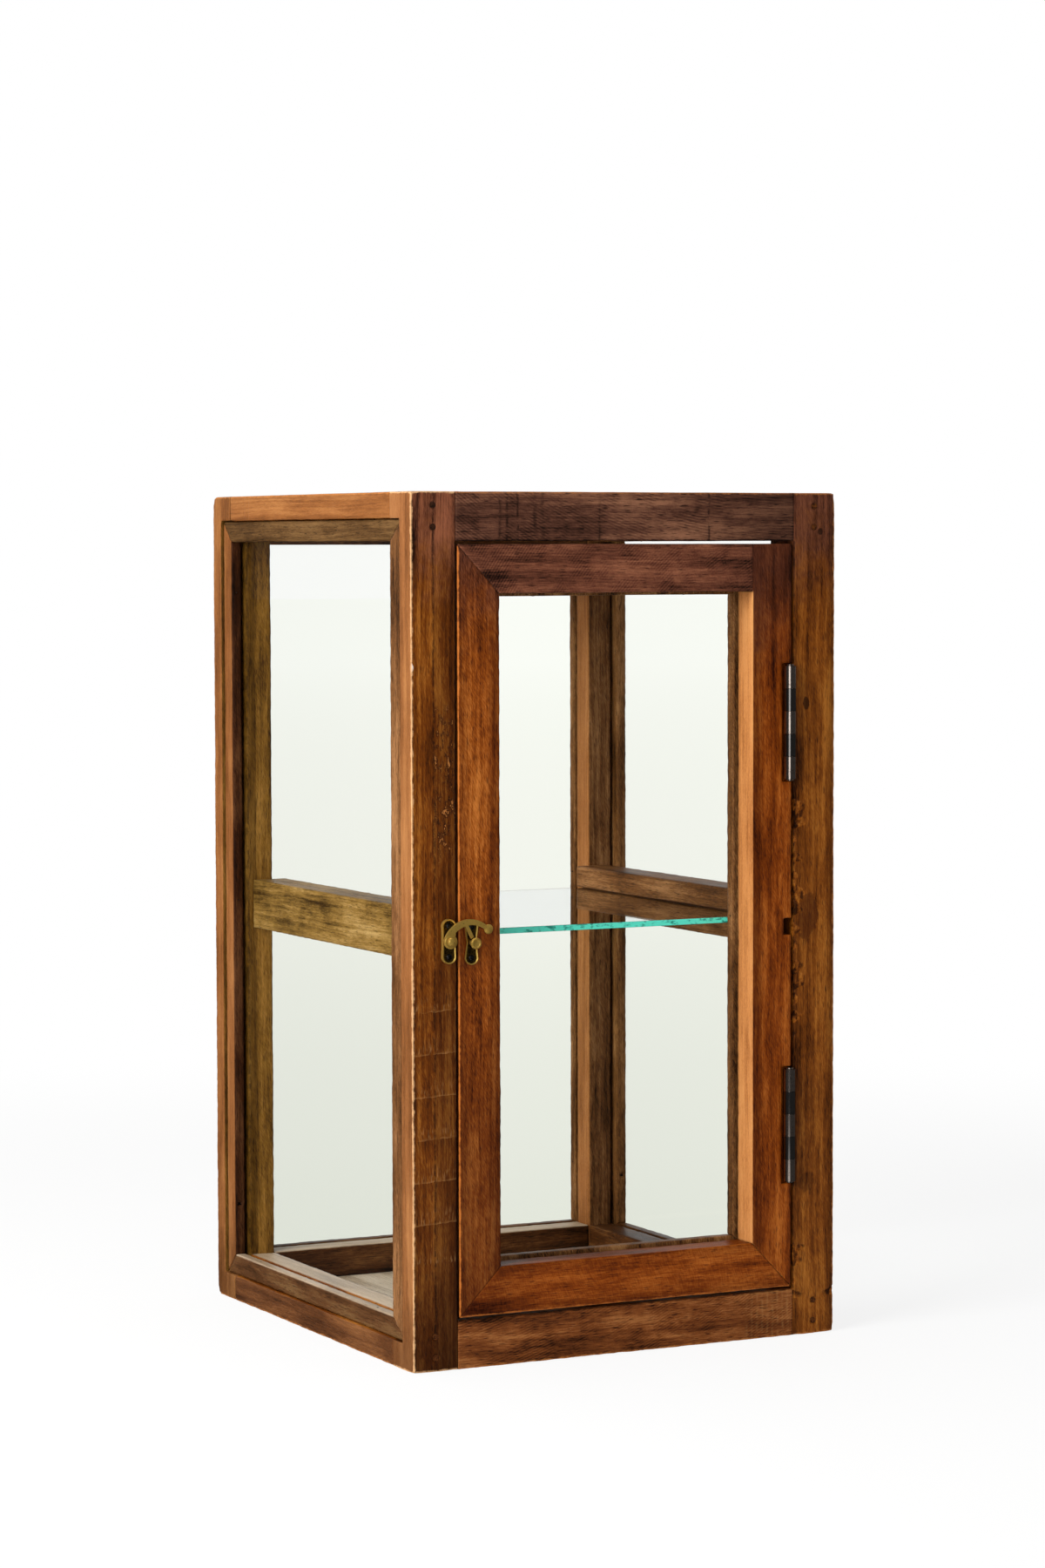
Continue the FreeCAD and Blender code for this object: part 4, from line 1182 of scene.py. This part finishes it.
def turned(name, middle, rings):
    """A round piece facing the front, drawn out ring by ring: (radius, height) in mm above its middle."""
    radius, height = rings[0]
    start = middle + Vector((0, -height * MM, 0))
    piece = begin("circle", name, vertices=32, radius=radius * MM, fill_type="NGON", location=start,
                  rotation=FACING_FRONT)
    for wider, further in rings[1:]:
        pull_out((height - further) * MM)
        scale = wider / radius
        bpy.ops.transform.resize(value=(scale, 1, scale), center_override=middle)
        radius, height = wider, further
    return piece


BRASS = old_metal("brass_old", tone(244, 197, 96), tone(134, 92, 26), 0.2, 0.3, 0.8)
WASHED_BRASS = old_metal("brass_washed", tone(122, 96, 50), tone(40, 29, 14), 0.36, 0.42)
print("brass finishes:", BRASS.name, WASHED_BRASS.name)

# %% [markdown]
# ## The two plates
# Each plate has a raised rim around a sunk field, and two slotted screws. A disc is pulled apart into a
# slot shape, narrowed at the waist, drawn forward and sunk. A bar cuts the slot of each screw.

# %% Make the two plates
PLATE_RIM, PLATE_SINK, PLATE_EASE = 0.9, 0.7, 0.25
MIDDLE_ROW = 1e-5
SCREW_INSET = 2 * MM
SCREW_RINGS = [(1.0, -8), (1.0, 0), (2.1, 0), (2.0, 0.35), (1.4, 0.75), (0.5, 0.9)]
SLOT_CUT, SLOT_TURN, SLOT_HEIGHT = (5 * MM, 1.0 * MM, 0.55 * MM), 0.6, 0.9 * MM


def screw_head(seat):
    """A slotted round head on a short shank."""
    head = turned("screw_head", seat, SCREW_RINGS)
    mode("OBJECT")
    bar = begin("cube", "slot_cutter", size=1, stretch=SLOT_CUT, rotation=(0, SLOT_TURN, 0),
                location=seat - Vector((0, SLOT_HEIGHT, 0)))
    mode("OBJECT")
    modify(head, "BOOLEAN", object=bar, operation="DIFFERENCE")
    bpy.data.objects.remove(bar)
    return head


def face_plate(node, waist, screw_node, body):
    """A rimmed plate with its two screws."""
    low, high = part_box(node)
    middle = Vector(((low.x + high.x) / 2, high.y, (low.z + high.z) / 2))
    half_width, pull = (high.x - low.x) / 2, (high.z - low.z - high.x + low.x) / 2
    plate = begin("circle", "shaped_" + node, vertices=40, radius=half_width, fill_type="NGON",
                  location=middle, rotation=FACING_FRONT)
    pick(plate, lambda corner: corner.z > middle.z + MIDDLE_ROW)
    bpy.ops.transform.translate(value=(0, 0, pull))
    pick(plate, lambda corner: corner.z < middle.z - MIDDLE_ROW)
    bpy.ops.transform.translate(value=(0, 0, -pull))
    pick(plate, lambda corner: abs(corner.z - middle.z) < MIDDLE_ROW)
    bpy.ops.transform.resize(value=(waist, 1, 1), center_override=middle)
    bpy.ops.mesh.select_all(action="SELECT")
    pull_out(low.y - high.y)
    bpy.ops.mesh.inset(thickness=PLATE_RIM * MM, depth=-PLATE_SINK * MM)
    mode("OBJECT")
    dress(plate, BRASS, WASHED_BRASS)
    for face in plate.data.polygons:
        face.material_index = int(face.select)
    mode("EDIT")
    done(plate, BRASS, body, node, ease=PLATE_EASE)

    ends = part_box(screw_node)
    heights = (ends[0].z + SCREW_INSET, ends[1].z - SCREW_INSET)
    heads = joined([screw_head(Vector((middle.x, low.y + PLATE_SINK * MM, height))) for height in heights])
    heads.name = "heads_of_" + screw_node
    mode("EDIT")
    done(heads, SCREW_STEEL, body, screw_node)


face_plate("latch_plate", 0.92, "latch_screws", "case")
face_plate("catch_plate", 0.72, "catch_screws", "door")
print("plates made")

# %% [markdown]
# ## The rivet and the stud
# A domed rivet holds the hook, and the hook's prong drops behind a stud with a dished head. Both are turned
# from a disc at the back end of the shank.

# %% Turn the rivet and the stud
SHANK_BACK, HEAD_CLEARANCE, STUD_EASE = -7, 0.3, 0.12
RIVET_SHANK, RIVET_HEAD = 1.45, [(2.6, 0), (2.8, 0.3), (2.5, 0.9), (1.7, 1.25), (0.6, 1.4)]
STUD_SHANK, STUD_HEAD = 1.6, [(3.2, 0), (3.7, 0.5), (3.7, 1.8), (3.3, 2.4), (2.5, 2.5), (2.1, 2.0),
                              (0.8, 1.9)]

hook_low, hook_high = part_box("latch_hook")
head_start = (FRONT - hook_low.y) / MM + HEAD_CLEARANCE


def on_front(low, high):
    return Vector(((low.x + high.x) / 2, FRONT, (low.z + high.z) / 2))


def headed(name, middle, shank, head):
    """A shank of one radius with a head: (radius, height) in mm above the head's start."""
    rings = [(shank, SHANK_BACK), (shank, head_start)]
    return turned(name, middle, rings + [(radius, head_start + height) for radius, height in head])


pivot = on_front(*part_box("latch_rivet"))
rivet = headed("rivet_dome", pivot, RIVET_SHANK, RIVET_HEAD)
done(rivet, BRASS, "case", "latch_rivet")
stud = headed("stud_knob", on_front(*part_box("catch_stud")), STUD_SHANK, STUD_HEAD)
done(stud, BRASS, "door", "catch_stud", ease=STUD_EASE)
print("rivet and stud turned; heads start", round(head_start, 2), "mm from the front")

# %% [markdown]
# ## The hook's arm
# The arm is one flat curve, wide at the rivet and thin at the tail. A rectangle is drawn out along an arc,
# step by step, and shrinks on the second half of the way.

# %% Swing out the arm
ARC_CENTRE = pivot + Vector((14.1 * MM, 0, -5.9 * MM))
ARC_CENTRE.y = (hook_low.y + hook_high.y) / 2
ARC_RADIUS, ARC_FROM, ARC_TO, ARC_STEPS = 18.1 * MM, 160.0, 47.0, 16
ARM_WIDTHS = (4.4, 2.6)
THINNING_FROM = 0.45
HOOK_SKIN, ARM_SHARE, PRONG_SHARE = 0.2, 0.8, 0.75
HOOK_THICK = (hook_high.y - hook_low.y) / MM - HOOK_SKIN


def on_arc(angle):
    angle = radians(angle)
    return ARC_CENTRE + ARC_RADIUS * Vector((cos(angle), 0, sin(angle)))


def swing(angle):
    """Turn the selection about the arc's centre, clockwise as seen from the front."""
    bpy.ops.transform.rotate(value=radians(-angle), orient_axis="Y", center_override=ARC_CENTRE)


arm = begin("plane", "brass_hook", size=1, stretch=(ARM_WIDTHS[0] * MM, HOOK_THICK * ARM_SHARE * MM, 1),
            location=on_arc(0))
swing(-ARC_FROM)
width = ARM_WIDTHS[0]
for step in range(1, ARC_STEPS + 1):
    bpy.ops.mesh.extrude_region_move()
    swing((ARC_FROM - ARC_TO) / ARC_STEPS)
    share = max(0, step / ARC_STEPS - THINNING_FROM) / (1 - THINNING_FROM)
    wanted = ARM_WIDTHS[0] + (ARM_WIDTHS[1] - ARM_WIDTHS[0]) * share
    middle = on_arc(ARC_FROM + (ARC_TO - ARC_FROM) * step / ARC_STEPS)
    bpy.ops.transform.resize(value=(wanted / width, 1, wanted / width), center_override=middle)
    width = wanted
mode("OBJECT")
print("tail of the arm, mm from the pivot:", [round(part / MM, 1) for part in on_arc(ARC_TO) - pivot])

# %% [markdown]
# ## Boss, tail and prong
# A boss sits on the rivet, a flat drop ends the tail, and a prong reaches down to the stud. Remeshing fuses
# these simple bodies into one casting with soft corners, and a drill opens the hole.

# %% Cast the hook
BOSS_RINGS = [(4.4, 0.1), (4.7, 0.5), (4.7, 1.7), (4.2, 2.3)]
TAIL_RADIUS, TAIL_FLAT, TAIL_SHIFT = 3.2 * MM, 0.38, Vector((0.9 * MM, 0, -0.2 * MM))
PRONG_TOP, PRONG_END, PRONG_WIDTH = Vector((11.2, 0, 10.4)), Vector((15.6, 0, 2.0)), 2.3 * MM
CASTING_GRID, CASTING_ROUNDS = 0.22 * MM, 4
DRILL_RADIUS, DRILL_LENGTH = 1.6 * MM, 20 * MM

boss_back = Vector((pivot.x, hook_high.y, pivot.z))
boss = turned("boss", boss_back, BOSS_RINGS)
mode("OBJECT")
tail = begin("uv_sphere", "tail", segments=24, ring_count=16, radius=TAIL_RADIUS, stretch=(1, TAIL_FLAT, 1),
             location=on_arc(ARC_TO) + TAIL_SHIFT)
mode("OBJECT")
lean = atan2(PRONG_END.x - PRONG_TOP.x, PRONG_TOP.z - PRONG_END.z)
prong = begin("cube", "prong", size=1, rotation=(0, -lean, 0),
              stretch=(PRONG_WIDTH, HOOK_THICK * PRONG_SHARE * MM, (PRONG_END - PRONG_TOP).length * MM),
              location=Vector((pivot.x, ARC_CENTRE.y, pivot.z)) + (PRONG_TOP + PRONG_END) / 2 * MM)
mode("OBJECT")
joined([arm, boss, tail, prong])
edit_all()
bpy.ops.mesh.normals_make_consistent(inside=False)
mode("OBJECT")
print("hook size, mm:", [round(side / MM, 1) for side in arm.dimensions])

arm.data.remesh_voxel_size = CASTING_GRID
bpy.ops.object.voxel_remesh()
modify(arm, "SMOOTH", factor=0.5, iterations=CASTING_ROUNDS)
drill = begin("cylinder", "drill", vertices=32, radius=DRILL_RADIUS, depth=DRILL_LENGTH, location=boss_back,
              rotation=FACING_FRONT)
mode("OBJECT")
modify(arm, "BOOLEAN", object=drill, operation="DIFFERENCE")
bpy.data.objects.remove(drill)
arm.select_set(True)
mode("EDIT")
done(arm, BRASS, "hook", "latch_hook")
print("hook faces:", len(arm.data.polygons))
